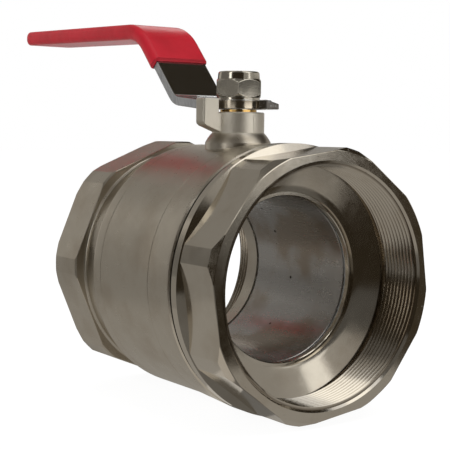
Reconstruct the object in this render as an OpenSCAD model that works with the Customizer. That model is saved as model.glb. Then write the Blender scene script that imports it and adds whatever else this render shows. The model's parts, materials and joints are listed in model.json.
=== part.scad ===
/* [Ports] */
// Plain bore of each port, at the root of the pipe thread
port_d = 113; // [106:0.5:118]
// Depth of the front port down to its inner lip
front_port_depth = 32; // [28:0.5:40]
// Depth of the rear port down to its inner lip
rear_port_depth = 30.5; // [28:0.5:40]
// Length of the threaded stretch of a port
thread_len = 22.5; // [16:0.5:24]
// Bevel at the mouth of a port
mouth_bevel = 1; // [0.4:0.1:2]

/* [Octagons] */
// Wall between the port and an octagon flat
octagon_wall = 4.5; // [3:0.5:8]
// Length of an octagon along the flow
octagon_len = 25.5; // [20:0.5:27]
// Height that turning takes off the octagon corners
corner_cut = 1.5; // [0.4:0.1:2.5]
// Length of the turned bevel at the outer end of an octagon
octagon_bevel = 3; // [1:0.5:5]
// Turn of the front octagon after the end cap is tightened
front_turn = -14.5; // [-22.5:0.5:22.5]

/* [Ball and seats] */
// Diameter of the ball
ball_d = 108; // [100:1:116]
// Flow bore through ball, seats and lips
bore_d = 80; // [70:1:84]
// Radial width of a seat ring
seat_w = 9; // [7:0.5:10]
// Lip that holds the front seat
front_lip = 2.5; // [2:0.5:5]
// Lip that holds the rear seat
rear_lip = 8.5; // [6:0.5:12]

/* [Barrel] */
// Space between the ball and the barrel
cavity_gap = 1.4; // [1:0.1:4]
// Wall of the barrel
barrel_wall = 7.8; // [6:0.1:12]
// Swell of the barrel towards its front rim
rim_swell = 1.7; // [0.5:0.1:3]
// Length of the round collar behind the front octagon
collar_len = 4.9; // [3:0.1:7]
// Open groove between body and end cap
joint_gap = 1.6; // [0.6:0.1:3]
// Radial width of the joint seal
seal_w = 3.4; // [2:0.1:4]
// Thickness of the joint seal
seal_t = 2; // [1:0.1:3]

/* [Stem and neck] */
// Outside diameter of the neck
neck_d = 26; // [24:0.5:32]
// Height of the neck top above the ball centre
neck_top = 79.6; // [77:0.1:88]
// Diameter of the stem and of its threaded end
stem_d = 14; // [11:0.5:14.5]
// Diameter of the stem flange
flange_d = 22; // [18:0.5:24]
// Diameter of the packing box and of the gland
packing_d = 18.2; // [17:0.1:20]
// Height of one packing ring
packing_h = 2.6; // [2:0.1:3]
// Section of a stem ring
oring_d = 1.56; // [1.2:0.02:1.8]

/* [Stop lug] */
// Reach of the stop lug from the stem axis
lug_reach = 23.25; // [20:0.25:28]
// Thickness of the stop lug
lug_t = 7.4; // [6:0.1:10]
// Height of the stop lug above the neck top
lug_rise = 6.6; // [5:0.1:9]

/* [Lever] */
// Thickness of the lever plate
lever_t = 4.7; // [4:0.1:6]
// Width of the lever plate
lever_w = 30.5; // [29:0.5:36]
// Diameter of the eye round the stem
eye_d = 23.6; // [21:0.2:25]
// Distance from the stem to the first bend
flat_len = 37; // [32:0.25:50]
// Upward set of the flat behind the eye
flat_set = 5.5; // [3:0.5:8]
// Rise from the first bend to the second
lever_rise = 37.8; // [32:0.5:60]
// Steepness of the slope
slope = 46; // [35:1:55]
// Upward tilt of the grip
grip_tilt = 1.9; // [0:0.1:6]
// Length of the grip from the second bend
grip_len = 146; // [90:1:180]
// Middle radius of the first bend
first_bend = 12; // [6:0.5:16]
// Middle radius of the second bend
second_bend = 28; // [12:0.5:32]
// Reach of the stop tab from the stem axis
tab_reach = 18.2; // [16:0.1:22]
// Width of the stop tab
tab_w = 7.9; // [5:0.1:9]
// Wall of the grip sleeve
sleeve_wall = 1.85; // [1:0.05:2.5]
// Bare stretch of the slope below the sleeve
bare_len = 26.5; // [16:0.5:32]
// Edge radius of the sleeve
sleeve_edge = 3.8; // [1:0.1:3.8]
// Corner radius of the sleeve tip seen from above
tip_corner = 9; // [6:0.5:13]

/* [Nut] */
// Width of the stem across its two flats
stem_flats = 10; // [8:0.1:10.4]
// Width of the nut across flats
nut_af = 22; // [20:0.5:24]
// Height of the nut with its collar
nut_h = 13.1; // [11:0.1:15]
// Height of the nut collar
collar_h = 3.9; // [3:0.1:5]
// Thickness of the washer under the nut
washer_t = 1; // [0.8:0.1:2]

/* [Hidden] */
$fn = 96;
eps = 0.05;
weld = 0.25;
weld_step = 0.02;
sink = 1;
past = 1;
seat_gap = 0.3;
slip = 0.15;
running = 0.08;
stop_gap = 0.3;
thread_play = 0.1;

// Ball, seats and lips along the flow
ball_r = ball_d / 2;
bore_r = bore_d / 2;
ball_end = sqrt(pow(ball_r, 2) - pow(bore_r, 2));
ball_chamfer = 0.8;
seat_step = 1;
seat_in = bore_r + seat_step;
seat_out = seat_in + seat_w;
seat_land = seat_in + 0.65 * seat_w;
seat_face = sqrt(pow(ball_r, 2) - pow(seat_land, 2));
seat_behind = 1.2;
seat_back = ball_end + seat_behind;
front_lip_x = seat_back + front_lip;
rear_lip_x = seat_back + rear_lip;
front_x = front_lip_x + front_port_depth;
rear_x = rear_lip_x + rear_port_depth;

// Port profile
port_r = port_d / 2;
relief_len = 2.4;
relief_cut = 0.6;
lip_step = 2;
lip_step_depth = 1.2;
cone_in = 5.5;
cone_start = 2;
cone_drop = 1.5;
relief_flank = 0.8;

// Octagons
flat_r = port_r + octagon_wall;
corner_r = flat_r / cos(22.5) - corner_cut;
bevel_share = 0.35;
bevel_r = flat_r + bevel_share * (corner_r - flat_r);
inner_bevel = 0.8;
front_octagon_x = front_x - octagon_len;
rear_octagon_x = rear_x - octagon_len;
ledge_len = 2;

// Barrel
cavity_r = ball_r + cavity_gap;
shoulder_r = 4.5;
waist_wall = 3.7;
waist_r = port_r - cone_drop + waist_wall;
barrel_r = max(cavity_r + barrel_wall, waist_r + shoulder_r);
rim_r = barrel_r + rim_swell;
collar_x = front_octagon_x - collar_len;
barrel_front = collar_x - joint_gap;
cap_set = 2.15;
cap_end = seat_face + cap_set;
seal_seat = cap_end - seal_t;
spigot_r = cavity_r + seal_w;
swell_start = 8;
rim_bevel = 0.7;
rim_len = 3;
spigot_bevel = 0.8;
seal_play = 0.2;
shoulder_end = seat_back;
waist_fillet = 1.6;

// Stem stack, upwards from the ball
neck_r = neck_d / 2;
stem_r = stem_d / 2;
flange_r = flange_d / 2;
packing_r = packing_d / 2;
flange_gap = 0.4;
flange_bottom = ball_r + flange_gap;
flange_h = 3;
flange_top = flange_bottom + flange_h;
thrust_t = 1;
guide_bottom = flange_top + thrust_t + eps;
box_depth = 10.1;
box_bottom = neck_top - box_depth;
tongue_w = 9.6;
tongue_depth = 8.2;
tongue_play = 0.2;
gland_rise = 1.25;
gland_top = neck_top + gland_rise;
gland_bottom = box_bottom + 2 * packing_h + 3 * eps;
gland_slot_w = 2.4;
gland_slot_depth = 0.9;
lever_z = gland_top + slip;
lever_top = lever_z + lever_t;
washer_z = lever_top;
nut_z = washer_z + washer_t;
nut_top = nut_z + nut_h;
stem_sunk = 1.1;
stem_top = nut_top - stem_sunk;
stem_end_len = 0.6;
stem_end_bevel = 0.7;
end_r = stem_r - thread_play;
oring_r = oring_d / 2;
oring_stand = 0.03;
oring_mid = stem_r + oring_stand - oring_r;
groove_play = 0.02;
groove_r = oring_mid - oring_r - groove_play;
groove_side = 0.3;
groove_w = oring_d + 2 * groove_side;
oring_set = 2.6;
lower_oring_z = guide_bottom + oring_set;
upper_oring_z = box_bottom - oring_set;

// Neck foot
foot_out = 3.5;
foot_r = neck_r + foot_out;
foot_drop = 11.9;
foot_top = neck_top - foot_drop;
foot_round = 3.4;
neck_bevel = 0.5;

// Stop lug
lug_shift = -0.15;
lug_back = lug_shift - lug_t / 2;
lug_front = lug_back + lug_t;
lug_top = neck_top + lug_rise;
lug_drop = 6.8;
lug_low = neck_top - lug_drop;
root_drop = 10;
lug_root = neck_top - root_drop;
lug_round = 1.6;
lug_heel = 1.8;
lug_clear = 2.2;
lug_gap = eye_d / 2 + lug_clear;

// Washer
washer_play = 0.2;
washer_in = 1.2;
washer_r = eye_d / 2 - washer_in;

// Lever path
lever_mid = lever_z + lever_t / 2;
slope_len = lever_rise / sin(slope);
set_bend = 12;
set_turn = set_bend * tan(flat_set / 2);
set_out = 0.15;
set_x = washer_r + set_out + set_turn;
set_len = (flat_len - set_x) / cos(flat_set);
first_angle = slope - flat_set;
first_turn = first_bend * tan(first_angle / 2);
second_angle = slope - grip_tilt;
second_turn = second_bend * tan(second_angle / 2);
shoulder_x = -lug_back + stop_gap;
tab_start = lug_front + stop_gap;
plate_round = 1;
sleeve_w = lever_w + 2 * sleeve_wall;
sleeve_t = lever_t + 2 * sleeve_wall;
sleeve_play = 0.05;
sleeve_round = min(sleeve_edge, sleeve_t / 2 - 0.2);

// Nut
hex_r = nut_af / 2 / cos(30);
hex_top = nut_h - collar_h;
nut_turn = -34.8;
nut_edge = 0.25;
nut_cone = 45;
cone_rise = (hex_r + past - nut_af / 2 + nut_edge) * tan(nut_cone);
collar_in = 0.4;
collar_r = nut_af / 2 - collar_in;
collar_taper = 0.3;
collar_round = 1.1;
collar_wall = 2.3;
insert_out = collar_r - collar_wall;
insert_hold = 0.8;
insert_seat = 0.3;
insert_top = 1.4;
insert_h = collar_h - insert_seat - insert_top;

// Turns a figure that stands on Z so that it lies on the flow axis
module along_flow() {
  rotate([0, 90, 0])
    children();
}

// Ring with a square section round Z
module ring(inner, outer, low, high) {
  difference() {
    translate([0, 0, low])
      cylinder(r = outer, h = high - low);
    translate([0, 0, low - past])
      cylinder(r = inner, h = high - low + 2 * past);
  }
}

// Octagon between two places on the flow axis, with turned corners and a bevel at its outer end
module octagon(low, high) {
  intersection() {
    translate([0, 0, low])
      cylinder(r = flat_r / cos(22.5), h = high - low, $fn = 8);
    rotate_extrude()
      polygon([
        [0, low],
        [corner_r - inner_bevel, low],
        [corner_r, low + inner_bevel],
        [corner_r, high - octagon_bevel],
        [bevel_r, high],
        [0, high]
      ]);
  }
}

// Space of a port from its lip out to its mouth
module port_space(lip, mouth) {
  relief = mouth - mouth_bevel - thread_len;
  rotate_extrude()
    polygon([
      [0, lip - eps],
      [bore_r + lip_step, lip - eps],
      [bore_r + lip_step, lip + lip_step_depth],
      [bore_r + cone_in, lip + cone_start],
      [port_r - cone_drop, relief - relief_len],
      [port_r + relief_cut, relief - relief_len + relief_flank],
      [port_r + relief_cut, relief],
      [port_r, relief + relief_cut],
      [port_r, mouth - mouth_bevel],
      [port_r + mouth_bevel, mouth],
      [port_r + mouth_bevel, mouth + past],
      [0, mouth + past]
    ]);
}

// Half section of the barrel from its waist to its front rim
module barrel_section() {
  polygon([
    [0, -shoulder_end],
    [barrel_r - shoulder_r, -shoulder_end],
    [barrel_r - shoulder_r, -shoulder_end + shoulder_r],
    [barrel_r, -shoulder_end + shoulder_r],
    [barrel_r, swell_start],
    [rim_r, barrel_front - rim_len],
    [rim_r, barrel_front - rim_bevel],
    [rim_r - rim_bevel, barrel_front],
    [0, barrel_front]
  ]);
  translate([barrel_r - shoulder_r, -shoulder_end + shoulder_r])
    circle(r = shoulder_r);
  translate([0, -rear_octagon_x - sink])
    square([waist_r, rear_octagon_x + sink - shoulder_end + eps]);
  difference() {
    translate([0, -rear_octagon_x])
      square([waist_r + waist_fillet, waist_fillet]);
    translate([waist_r + waist_fillet, -rear_octagon_x + waist_fillet])
      circle(r = waist_fillet);
  }
}

// Neck with its rounded foot, solid down into the barrel
module neck() {
  rotate_extrude() {
    translate([0, cavity_r])
      square([foot_r, foot_top - foot_round - cavity_r]);
    translate([0, foot_top - foot_round - eps])
      square([foot_r - foot_round, foot_round + eps]);
    translate([foot_r - foot_round, foot_top - foot_round])
      circle(r = foot_round);
    polygon([
      [0, foot_top - sink],
      [neck_r, foot_top - sink],
      [neck_r, neck_top - neck_bevel],
      [neck_r - neck_bevel, neck_top],
      [0, neck_top]
    ]);
  }
}

// Lug that stops the lever when the valve is open and when it is shut
module stop_lug() {
  intersection() {
    translate([lug_back, 0, 0])
      rotate([90, 0, 90])
        linear_extrude(lug_t)
          polygon([
            [-packing_r - sink, lug_root],
            [-neck_r, lug_root],
            [lug_heel - lug_reach, lug_low],
            [-lug_reach, lug_low + lug_heel],
            [-lug_reach, lug_top],
            [-lug_gap, lug_top],
            [-lug_gap, neck_top - neck_bevel],
            [-packing_r - sink, neck_top - neck_bevel]
          ]);
    translate([0, 0, lug_root - past])
      linear_extrude(lug_top - lug_root + 2 * past) {
        translate([lug_back, -lug_reach + lug_round])
          square([lug_t, lug_reach]);
        translate([lug_back + lug_round, -lug_reach])
          square([lug_t - 2 * lug_round, lug_reach]);
        for (x = [lug_back + lug_round, lug_front - lug_round])
          translate([x, -lug_reach + lug_round])
            circle(r = lug_round);
      }
  }
}

// Room for the seat ring, the ball and the joint thread inside the body
module body_space() {
  rotate_extrude()
    polygon([
      [0, -rear_lip_x - past],
      [bore_r, -rear_lip_x - past],
      [bore_r, -seat_back],
      [seat_out + slip, -seat_back],
      [seat_out + slip, -seat_face],
      [cavity_r, -seat_face],
      [cavity_r, seal_seat],
      [spigot_r + thread_play, seal_seat],
      [spigot_r + thread_play, barrel_front + past],
      [0, barrel_front + past]
    ]);
}

module body() {
  color("tan")
    difference() {
      union() {
        along_flow()
          rotate_extrude()
            barrel_section();
        along_flow()
          mirror([0, 0, 1])
            octagon(rear_octagon_x, rear_x);
        neck();
        stop_lug();
      }
      along_flow()
        body_space();
      along_flow()
        mirror([0, 0, 1])
          port_space(rear_lip_x, rear_x);
      cylinder(r = flange_r + slip, h = guide_bottom);
      cylinder(r = stem_r + running, h = neck_top);
      translate([0, 0, box_bottom])
        cylinder(r = packing_r + eps, h = neck_top);
    }
}

module end_cap() {
  color("tan")
    rotate([front_turn, 0, 0])
      along_flow()
        difference() {
          union() {
            octagon(front_octagon_x, front_x);
            rotate_extrude()
              polygon([
                [0, cap_end],
                [spigot_r - spigot_bevel, cap_end],
                [spigot_r, cap_end + spigot_bevel],
                [spigot_r, collar_x],
                [rim_r - rim_bevel, collar_x],
                [rim_r, collar_x + rim_bevel],
                [rim_r, front_octagon_x],
                [flat_r, front_octagon_x + ledge_len],
                [0, front_octagon_x + ledge_len]
              ]);
          }
          port_space(front_lip_x, front_x);
          translate([0, 0, cap_end - past])
            cylinder(r = bore_r, h = front_lip_x - cap_end + 2 * past);
          translate([0, 0, cap_end - past])
            cylinder(r = seat_out + slip, h = seat_back - cap_end + past);
        }
}

module joint_seal() {
  color("ivory")
    along_flow()
      ring(cavity_r + seal_play, spigot_r - seal_play, seal_seat + eps, cap_end - eps);
}

module ball() {
  color("silver")
    difference() {
      sphere(r = ball_r);
      along_flow()
        translate([0, 0, -ball_r])
          cylinder(r = bore_r, h = 2 * ball_r);
      for (side = [0, 180])
        rotate([0, 0, side])
          along_flow()
            translate([0, 0, ball_end - ball_chamfer])
              cylinder(r1 = bore_r, r2 = bore_r + 2 * ball_chamfer, h = 2 * ball_chamfer);
      translate([-tongue_w / 2 - tongue_play, -ball_r, flange_bottom - tongue_depth - tongue_play])
        cube([tongue_w + 2 * tongue_play, 2 * ball_r, ball_r]);
    }
}

// Seat ring that faces the ball, with its back against a lip
module seat() {
  difference() {
    along_flow()
      ring(seat_in, seat_out, seat_face + eps, seat_back - eps);
    sphere(r = ball_r + seat_gap);
  }
}

module front_seat() {
  color("white")
    seat();
}

module rear_seat() {
  color("white")
    mirror([1, 0, 0])
      seat();
}

module stem() {
  color("silver")
    difference() {
      union() {
        translate([0, 0, flange_bottom])
          cylinder(r = flange_r, h = flange_h);
        translate([0, 0, flange_top - eps])
          cylinder(r = stem_r, h = lever_z - flange_top + eps);
        intersection() {
          translate([0, 0, flange_bottom - tongue_depth])
            cylinder(r = flange_r, h = tongue_depth + eps);
          translate([-tongue_w / 2, -flange_r, flange_bottom - tongue_depth])
            cube([tongue_w, 2 * flange_r, tongue_depth + eps]);
        }
        intersection() {
          translate([0, 0, lever_z - eps])
            cylinder(r = end_r, h = stem_top - lever_z + eps);
          translate([-stem_flats / 2, -stem_r, lever_z - eps])
            cube([stem_flats, stem_d, lever_t + 3 * eps]);
        }
        translate([0, 0, lever_top + eps])
          cylinder(r = end_r, h = stem_top - lever_top - stem_end_len - 2 * eps);
        translate([0, 0, stem_top - stem_end_len - 2 * eps])
          cylinder(r1 = end_r, r2 = end_r - stem_end_bevel, h = stem_end_len);
      }
      for (z = [lower_oring_z, upper_oring_z])
        ring(groove_r, stem_r + past, z - groove_w / 2, z + groove_w / 2);
    }
}

module thrust_washer() {
  color("white")
    ring(stem_r + running, flange_r, flange_top + eps, guide_bottom - eps / 2);
}

module stem_ring(z) {
  color("dimgray")
    translate([0, 0, z])
      rotate_extrude()
        translate([oring_mid, 0])
          circle(r = oring_r);
}

module lower_oring() {
  stem_ring(lower_oring_z);
}

module upper_oring() {
  stem_ring(upper_oring_z);
}

// Packing ring of a given place in the box, counted from below
module packing(place) {
  low = box_bottom + eps + place * (packing_h + eps);
  color("white")
    ring(stem_r + running, packing_r, low, low + packing_h);
}

module lower_packing() {
  packing(0);
}

module upper_packing() {
  packing(1);
}

module gland() {
  color("goldenrod")
    difference() {
      ring(stem_r + running, packing_r, gland_bottom, gland_top);
      translate([-gland_slot_w / 2, -packing_r - past, gland_top - gland_slot_depth])
        cube([gland_slot_w, 2 * packing_r + 2 * past, gland_slot_depth + past]);
    }
}

// Outline of the eye of the lever, seen from above, out to where the flat is set up
module lever_outline() {
  reach = set_x - set_turn + weld;
  circle(d = eye_d);
  translate([-reach, -lever_w / 2])
    square([reach - shoulder_x - plate_round, lever_w]);
  translate([-reach, -lever_w / 2 + plate_round])
    square([reach - shoulder_x, lever_w - 2 * plate_round]);
  for (side = [-1, 1])
    translate([-shoulder_x - plate_round, side * (lever_w / 2 - plate_round)])
      circle(r = plate_round);
  translate([0, tab_start])
    square([tab_reach, tab_w]);
  translate([-shoulder_x - sink, -eye_d / 2 + sink])
    square([shoulder_x + sink, eye_d - 2 * sink]);
}

// Carries a figure to the place where the flat is set up and turns it along the flat
module on_flat() {
  translate([-set_x, 0, lever_mid])
    rotate([0, flat_set, 0])
      children();
}

// Carries a figure to the first bend's corner and turns it up the slope
module on_slope() {
  on_flat()
    translate([-set_len, 0, 0])
      rotate([0, first_angle, 0])
        children();
}

// Carries a figure to the second bend's corner and turns it along the grip
module on_grip() {
  on_slope()
    translate([-slope_len, 0, 0])
      rotate([0, -second_angle, 0])
        children();
}

// Section of the lever plate, across the path
module plate_section(extra) {
  square([lever_w + 2 * extra, lever_t + 2 * extra], center = true);
}

// Section of the sleeve, across the path
module sleeve_section(extra) {
  square([sleeve_w + 2 * extra, sleeve_t - 2 * sleeve_round], center = true);
  square([sleeve_w - 2 * sleeve_round, sleeve_t + 2 * extra], center = true);
  for (y = [-1, 1], z = [-1, 1])
    translate([y * (sleeve_w / 2 - sleeve_round), z * (sleeve_t / 2 - sleeve_round)])
      circle(r = sleeve_round + extra);
}

// Straight run of a section from one place on the path to a place farther on
module run(from, to) {
  translate([-to, 0, 0])
    rotate([90, 0, 90])
      linear_extrude(to - from)
        children();
}

// Bend of a section about an axis across the path, from a place on the path. Its section is a hair larger
// than that of the runs, which reach a little way into it
module bend(from, radius, angle, up) {
  translate([-from, 0, up * radius])
    rotate([90, 0, 0])
      rotate([0, 0, up > 0 ? 270 - angle : 90])
        rotate_extrude(angle = angle)
          translate([radius, 0])
            rotate(90)
              children();
}

// Grip end of the lever plate with its rounded tip, grown by a little all round
module grip_plate(extra) {
  tip = grip_len - sleeve_wall + extra;
  half = lever_w / 2 + extra;
  corner = tip_corner - sleeve_wall + extra;
  translate([0, 0, -lever_t / 2 - extra])
    linear_extrude(lever_t + 2 * extra) {
      translate([corner - tip, -half])
        square([tip - corner - second_turn + weld, 2 * half]);
      translate([-tip, corner - half])
        square([corner + weld, 2 * (half - corner)]);
      for (side = [-1, 1])
        translate([corner - tip, side * (half - corner)])
          circle(r = corner);
    }
}

// Lever plate from the eye to its tip, grown by a little all round
module crank(extra) {
  translate([0, 0, lever_mid])
    bend(set_x - set_turn, set_bend, flat_set, 1)
      plate_section(extra + weld_step);
  on_flat() {
    run(set_turn - weld, set_len - first_turn + weld)
      plate_section(extra);
    bend(set_len - first_turn, first_bend, first_angle, 1)
      plate_section(extra + weld_step);
  }
  on_slope() {
    run(first_turn - weld, slope_len - second_turn + weld)
      plate_section(extra);
    bend(slope_len - second_turn, second_bend, second_angle, -1)
      plate_section(extra + weld_step);
  }
  on_grip()
    grip_plate(extra);
}

module lever() {
  color("gainsboro")
    difference() {
      union() {
        translate([0, 0, lever_z])
          linear_extrude(lever_t)
            lever_outline();
        crank(0);
      }
      intersection() {
        translate([0, 0, lever_z - past])
          cylinder(r = stem_r, h = lever_t + 2 * past);
        translate([-stem_flats / 2 - thread_play, -lever_w / 2, lever_z - past])
          cube([stem_flats + 2 * thread_play, lever_w, lever_t + 2 * past]);
      }
    }
}

// Half section of the sleeve edge at its tip, out from a corner's centre
module tip_section() {
  edge = sleeve_round + weld_step;
  half = sleeve_t / 2 + weld_step;
  reach = tip_corner + weld_step;
  translate([0, -half])
    square([reach - edge, 2 * half]);
  translate([0, edge - half])
    square([reach, 2 * (half - edge)]);
  for (z = [-1, 1])
    translate([reach - edge, z * (half - edge)])
      intersection() {
        circle(r = edge);
        translate([0, -edge])
          square([edge, 2 * edge]);
      }
}

// Closed tip of the sleeve with rounded corners
module sleeve_tip() {
  span = sleeve_w - 2 * tip_corner;
  translate([-grip_len + tip_corner, 0, 0]) {
    translate([0, span / 2, 0])
      rotate([90, 0, 0])
        linear_extrude(span)
          mirror([1, 0])
            tip_section();
    for (side = [-1, 1])
      translate([0, side * span / 2, 0])
        rotate([0, 0, side > 0 ? 90 : 180])
          rotate_extrude(angle = 90)
            tip_section();
  }
}

module lever_sleeve() {
  color("firebrick")
    difference() {
      union() {
        on_slope() {
          run(bare_len, slope_len - second_turn + weld)
            sleeve_section(0);
          bend(slope_len - second_turn, second_bend, second_angle, -1)
            sleeve_section(weld_step);
        }
        on_grip() {
          run(second_turn - weld, grip_len - tip_corner + weld)
            sleeve_section(0);
          sleeve_tip();
        }
      }
      crank(sleeve_play);
    }
}

module lever_washer() {
  color("silver")
    ring(stem_r + washer_play, washer_r, washer_z, nut_z);
}

module lever_nut() {
  color("silver")
    translate([0, 0, nut_z])
      difference() {
        union() {
          intersection() {
            rotate([0, 0, nut_turn])
              cylinder(r = hex_r, h = hex_top, $fn = 6);
            rotate_extrude()
              polygon([
                [0, 0],
                [nut_af / 2 - nut_edge, 0],
                [hex_r + past, cone_rise],
                [hex_r + past, hex_top - cone_rise],
                [nut_af / 2 - nut_edge, hex_top],
                [0, hex_top]
              ]);
          }
          rotate_extrude()
            polygon([
              [0, hex_top - eps],
              [collar_r, hex_top - eps],
              for (a = [0 : 30 : 90])
                [
                  collar_r - collar_taper - collar_round * (1 - cos(a)),
                  nut_h - collar_round * (1 - sin(a))
                ],
              [0, nut_h]
            ]);
        }
        translate([0, 0, -past])
          cylinder(r = stem_r, h = nut_h);
        translate([0, 0, hex_top + insert_seat])
          cylinder(r = insert_out + eps, h = insert_h + eps);
        translate([0, 0, hex_top])
          cylinder(r = insert_out - insert_hold, h = collar_h + past);
      }
}

module nut_insert() {
  color("royalblue")
    translate([0, 0, nut_z + hex_top + insert_seat])
      ring(end_r + eps, insert_out, eps, insert_h);
}

body();
end_cap();
joint_seal();
ball();
front_seat();
rear_seat();
stem();
thrust_washer();
lower_oring();
upper_oring();
lower_packing();
upper_packing();
gland();
lever();
lever_sleeve();
lever_washer();
lever_nut();
nut_insert();
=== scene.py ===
"""Looks of a quarter-turn ball valve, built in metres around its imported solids."""

from __future__ import annotations

import json
import logging
import math
from collections.abc import Callable, Sequence
from dataclasses import dataclass
from enum import Enum

import bmesh
import bpy
from mathutils import Matrix, Vector

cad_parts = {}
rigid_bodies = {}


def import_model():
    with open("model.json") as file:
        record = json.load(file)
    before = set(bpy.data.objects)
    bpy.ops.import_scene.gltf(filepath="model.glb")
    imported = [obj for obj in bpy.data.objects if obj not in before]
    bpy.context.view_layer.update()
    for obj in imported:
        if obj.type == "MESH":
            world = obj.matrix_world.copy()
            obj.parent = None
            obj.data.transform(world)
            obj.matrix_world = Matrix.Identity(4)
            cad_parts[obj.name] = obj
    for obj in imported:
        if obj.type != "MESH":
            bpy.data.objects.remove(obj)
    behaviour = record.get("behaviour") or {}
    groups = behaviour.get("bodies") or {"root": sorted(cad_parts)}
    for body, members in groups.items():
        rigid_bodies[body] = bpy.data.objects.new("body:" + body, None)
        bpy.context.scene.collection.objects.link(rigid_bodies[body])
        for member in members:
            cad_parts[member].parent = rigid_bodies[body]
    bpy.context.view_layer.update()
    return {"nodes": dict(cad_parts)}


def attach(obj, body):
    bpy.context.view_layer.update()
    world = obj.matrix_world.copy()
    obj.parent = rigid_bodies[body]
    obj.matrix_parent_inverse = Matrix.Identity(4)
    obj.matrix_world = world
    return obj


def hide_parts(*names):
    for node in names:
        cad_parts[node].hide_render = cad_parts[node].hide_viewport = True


log = logging.getLogger("valve")

MM = 0.001
HOUSING = "housing"
ROTOR = "rotor"
# Nearness at which points are merged in a new solid and in a finished piece
MERGE = 0.0005 * MM
CLOSE = 0.01 * MM
# Least angle of an edge that can be marked, in degrees
SHARP = 20.0
# How far a cutting solid passes the surface that it cuts, in millimetres
PAST = 1.0
# How near a point has to be to a face to belong to it, in millimetres
NEAR = 0.1
# Steps of a round edge, of a hole and of a small turned solid
ROUND_STEPS = 8
HOLE_STEPS = 64
SMALL_STEPS = 96
QUARTER = [math.radians(angle) for angle in range(0, 91, 15)]

Point = tuple[float, float]
Colour = tuple[float, float, float]


class Axis(Enum):
    """Axis that a section is turned about."""

    FLOW = (1.0, 0.0, 0.0)
    STEM = (0.0, 0.0, 1.0)


class Cut(Enum):
    """Way in which one solid changes another."""

    JOIN = "UNION"
    TAKE_OFF = "DIFFERENCE"
    KEEP_COMMON = "INTERSECT"


def deselect() -> None:
    """Leaves edit mode and deselects every object."""
    if bpy.context.object and bpy.context.object.mode != "OBJECT":
        bpy.ops.object.mode_set(mode="OBJECT")
    bpy.ops.object.select_all(action="DESELECT")


def pick(piece: bpy.types.Object) -> None:
    """Makes a piece the only selected and the active object.

    Args:
        piece: Object to pick.
    """
    deselect()
    piece.select_set(True)
    bpy.context.view_layer.objects.active = piece


def named(name: str) -> bpy.types.Object:
    """Names the primitive that was just added, with its mesh.

    Args:
        name: Name to give.

    Returns:
        The primitive's object.
    """
    piece = bpy.context.object
    piece.name = name
    piece.data.name = name
    return piece


def chain(name: str, points: Sequence[Vector]) -> bpy.types.Object:
    """Draws a row of edges by extruding one vertex from point to point.

    Args:
        name: Name of the new object.
        points: Places of the vertices, in millimetres.

    Returns:
        The new object, in edit mode with all of it selected.
    """
    deselect()
    bpy.ops.mesh.primitive_plane_add(size=MM)
    piece = named(name)
    bpy.ops.object.mode_set(mode="EDIT")
    bpy.ops.mesh.select_mode(type="VERT")
    bpy.ops.mesh.merge(type="CENTER")
    bpy.ops.transform.translate(value=points[0] * MM)
    for last, new in zip(points, points[1:]):
        bpy.ops.mesh.extrude_region_move(TRANSFORM_OT_translate={"value": (new - last) * MM})
    bpy.ops.mesh.select_all(action="SELECT")
    return piece


def turned(name: str, section: Sequence[Point], axis: Axis, steps: int = 192) -> bpy.types.Object:
    """Spins a half section into a solid of revolution.

    Args:
        name: Name of the new object.
        section: Places along the axis and radii, in millimetres, from the axis back to the axis.
        axis: Axis to spin about.
        steps: Number of steps round the axis.

    Returns:
        The new closed solid.
    """
    if axis is Axis.FLOW:
        points = [Vector((along, 0.0, radius)) for along, radius in section]
    else:
        points = [Vector((radius, 0.0, along)) for along, radius in section]
    piece = chain(name, points)
    bpy.ops.mesh.spin(steps=steps, angle=math.tau, center=(0, 0, 0), axis=axis.value)
    bpy.ops.mesh.select_all(action="SELECT")
    bpy.ops.mesh.remove_doubles(threshold=MERGE)
    bpy.ops.mesh.normals_make_consistent(inside=False)
    bpy.ops.object.mode_set(mode="OBJECT")
    return piece


def slab(name: str, outline: Sequence[Vector], depth: Vector) -> bpy.types.Object:
    """Fills an outline and extrudes it into a slab.

    Args:
        name: Name of the new object.
        outline: Corners of the outline in order, in millimetres.
        depth: Direction and length of the extrusion, in millimetres.

    Returns:
        The new closed solid.
    """
    piece = chain(name, outline)
    bpy.ops.mesh.edge_face_add()
    bpy.ops.mesh.extrude_region_move(TRANSFORM_OT_translate={"value": depth * MM})
    bpy.ops.mesh.select_all(action="SELECT")
    bpy.ops.mesh.normals_make_consistent(inside=False)
    bpy.ops.object.mode_set(mode="OBJECT")
    return piece


def prism(name: str, sides: int, across: float, low: float, high: float, axis: Axis,
          turn: float) -> bpy.types.Object:
    """Adds a regular prism.

    Args:
        name: Name of the new object.
        sides: Number of flats.
        across: Width across flats, in millimetres.
        low: Lower end along the axis, in millimetres.
        high: Upper end along the axis, in millimetres.
        axis: Axis of the prism.
        turn: Turn about the axis, in degrees.

    Returns:
        The new closed solid.
    """
    deselect()
    tilt = math.pi / 2 if axis is Axis.FLOW else 0.0
    bpy.ops.mesh.primitive_cylinder_add(
        vertices=sides,
        radius=across / 2 / math.cos(math.pi / sides) * MM,
        depth=(high - low) * MM,
    )
    piece = named(name)
    spin = Matrix.Rotation(math.radians(turn), 4, Vector(axis.value))
    middle = Vector(axis.value) * (low + high) / 2 * MM
    piece.matrix_world = Matrix.Translation(middle) @ spin @ Matrix.Rotation(tilt, 4, "Y")
    bpy.ops.object.transform_apply(location=True, rotation=True, scale=True)
    return piece


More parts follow.
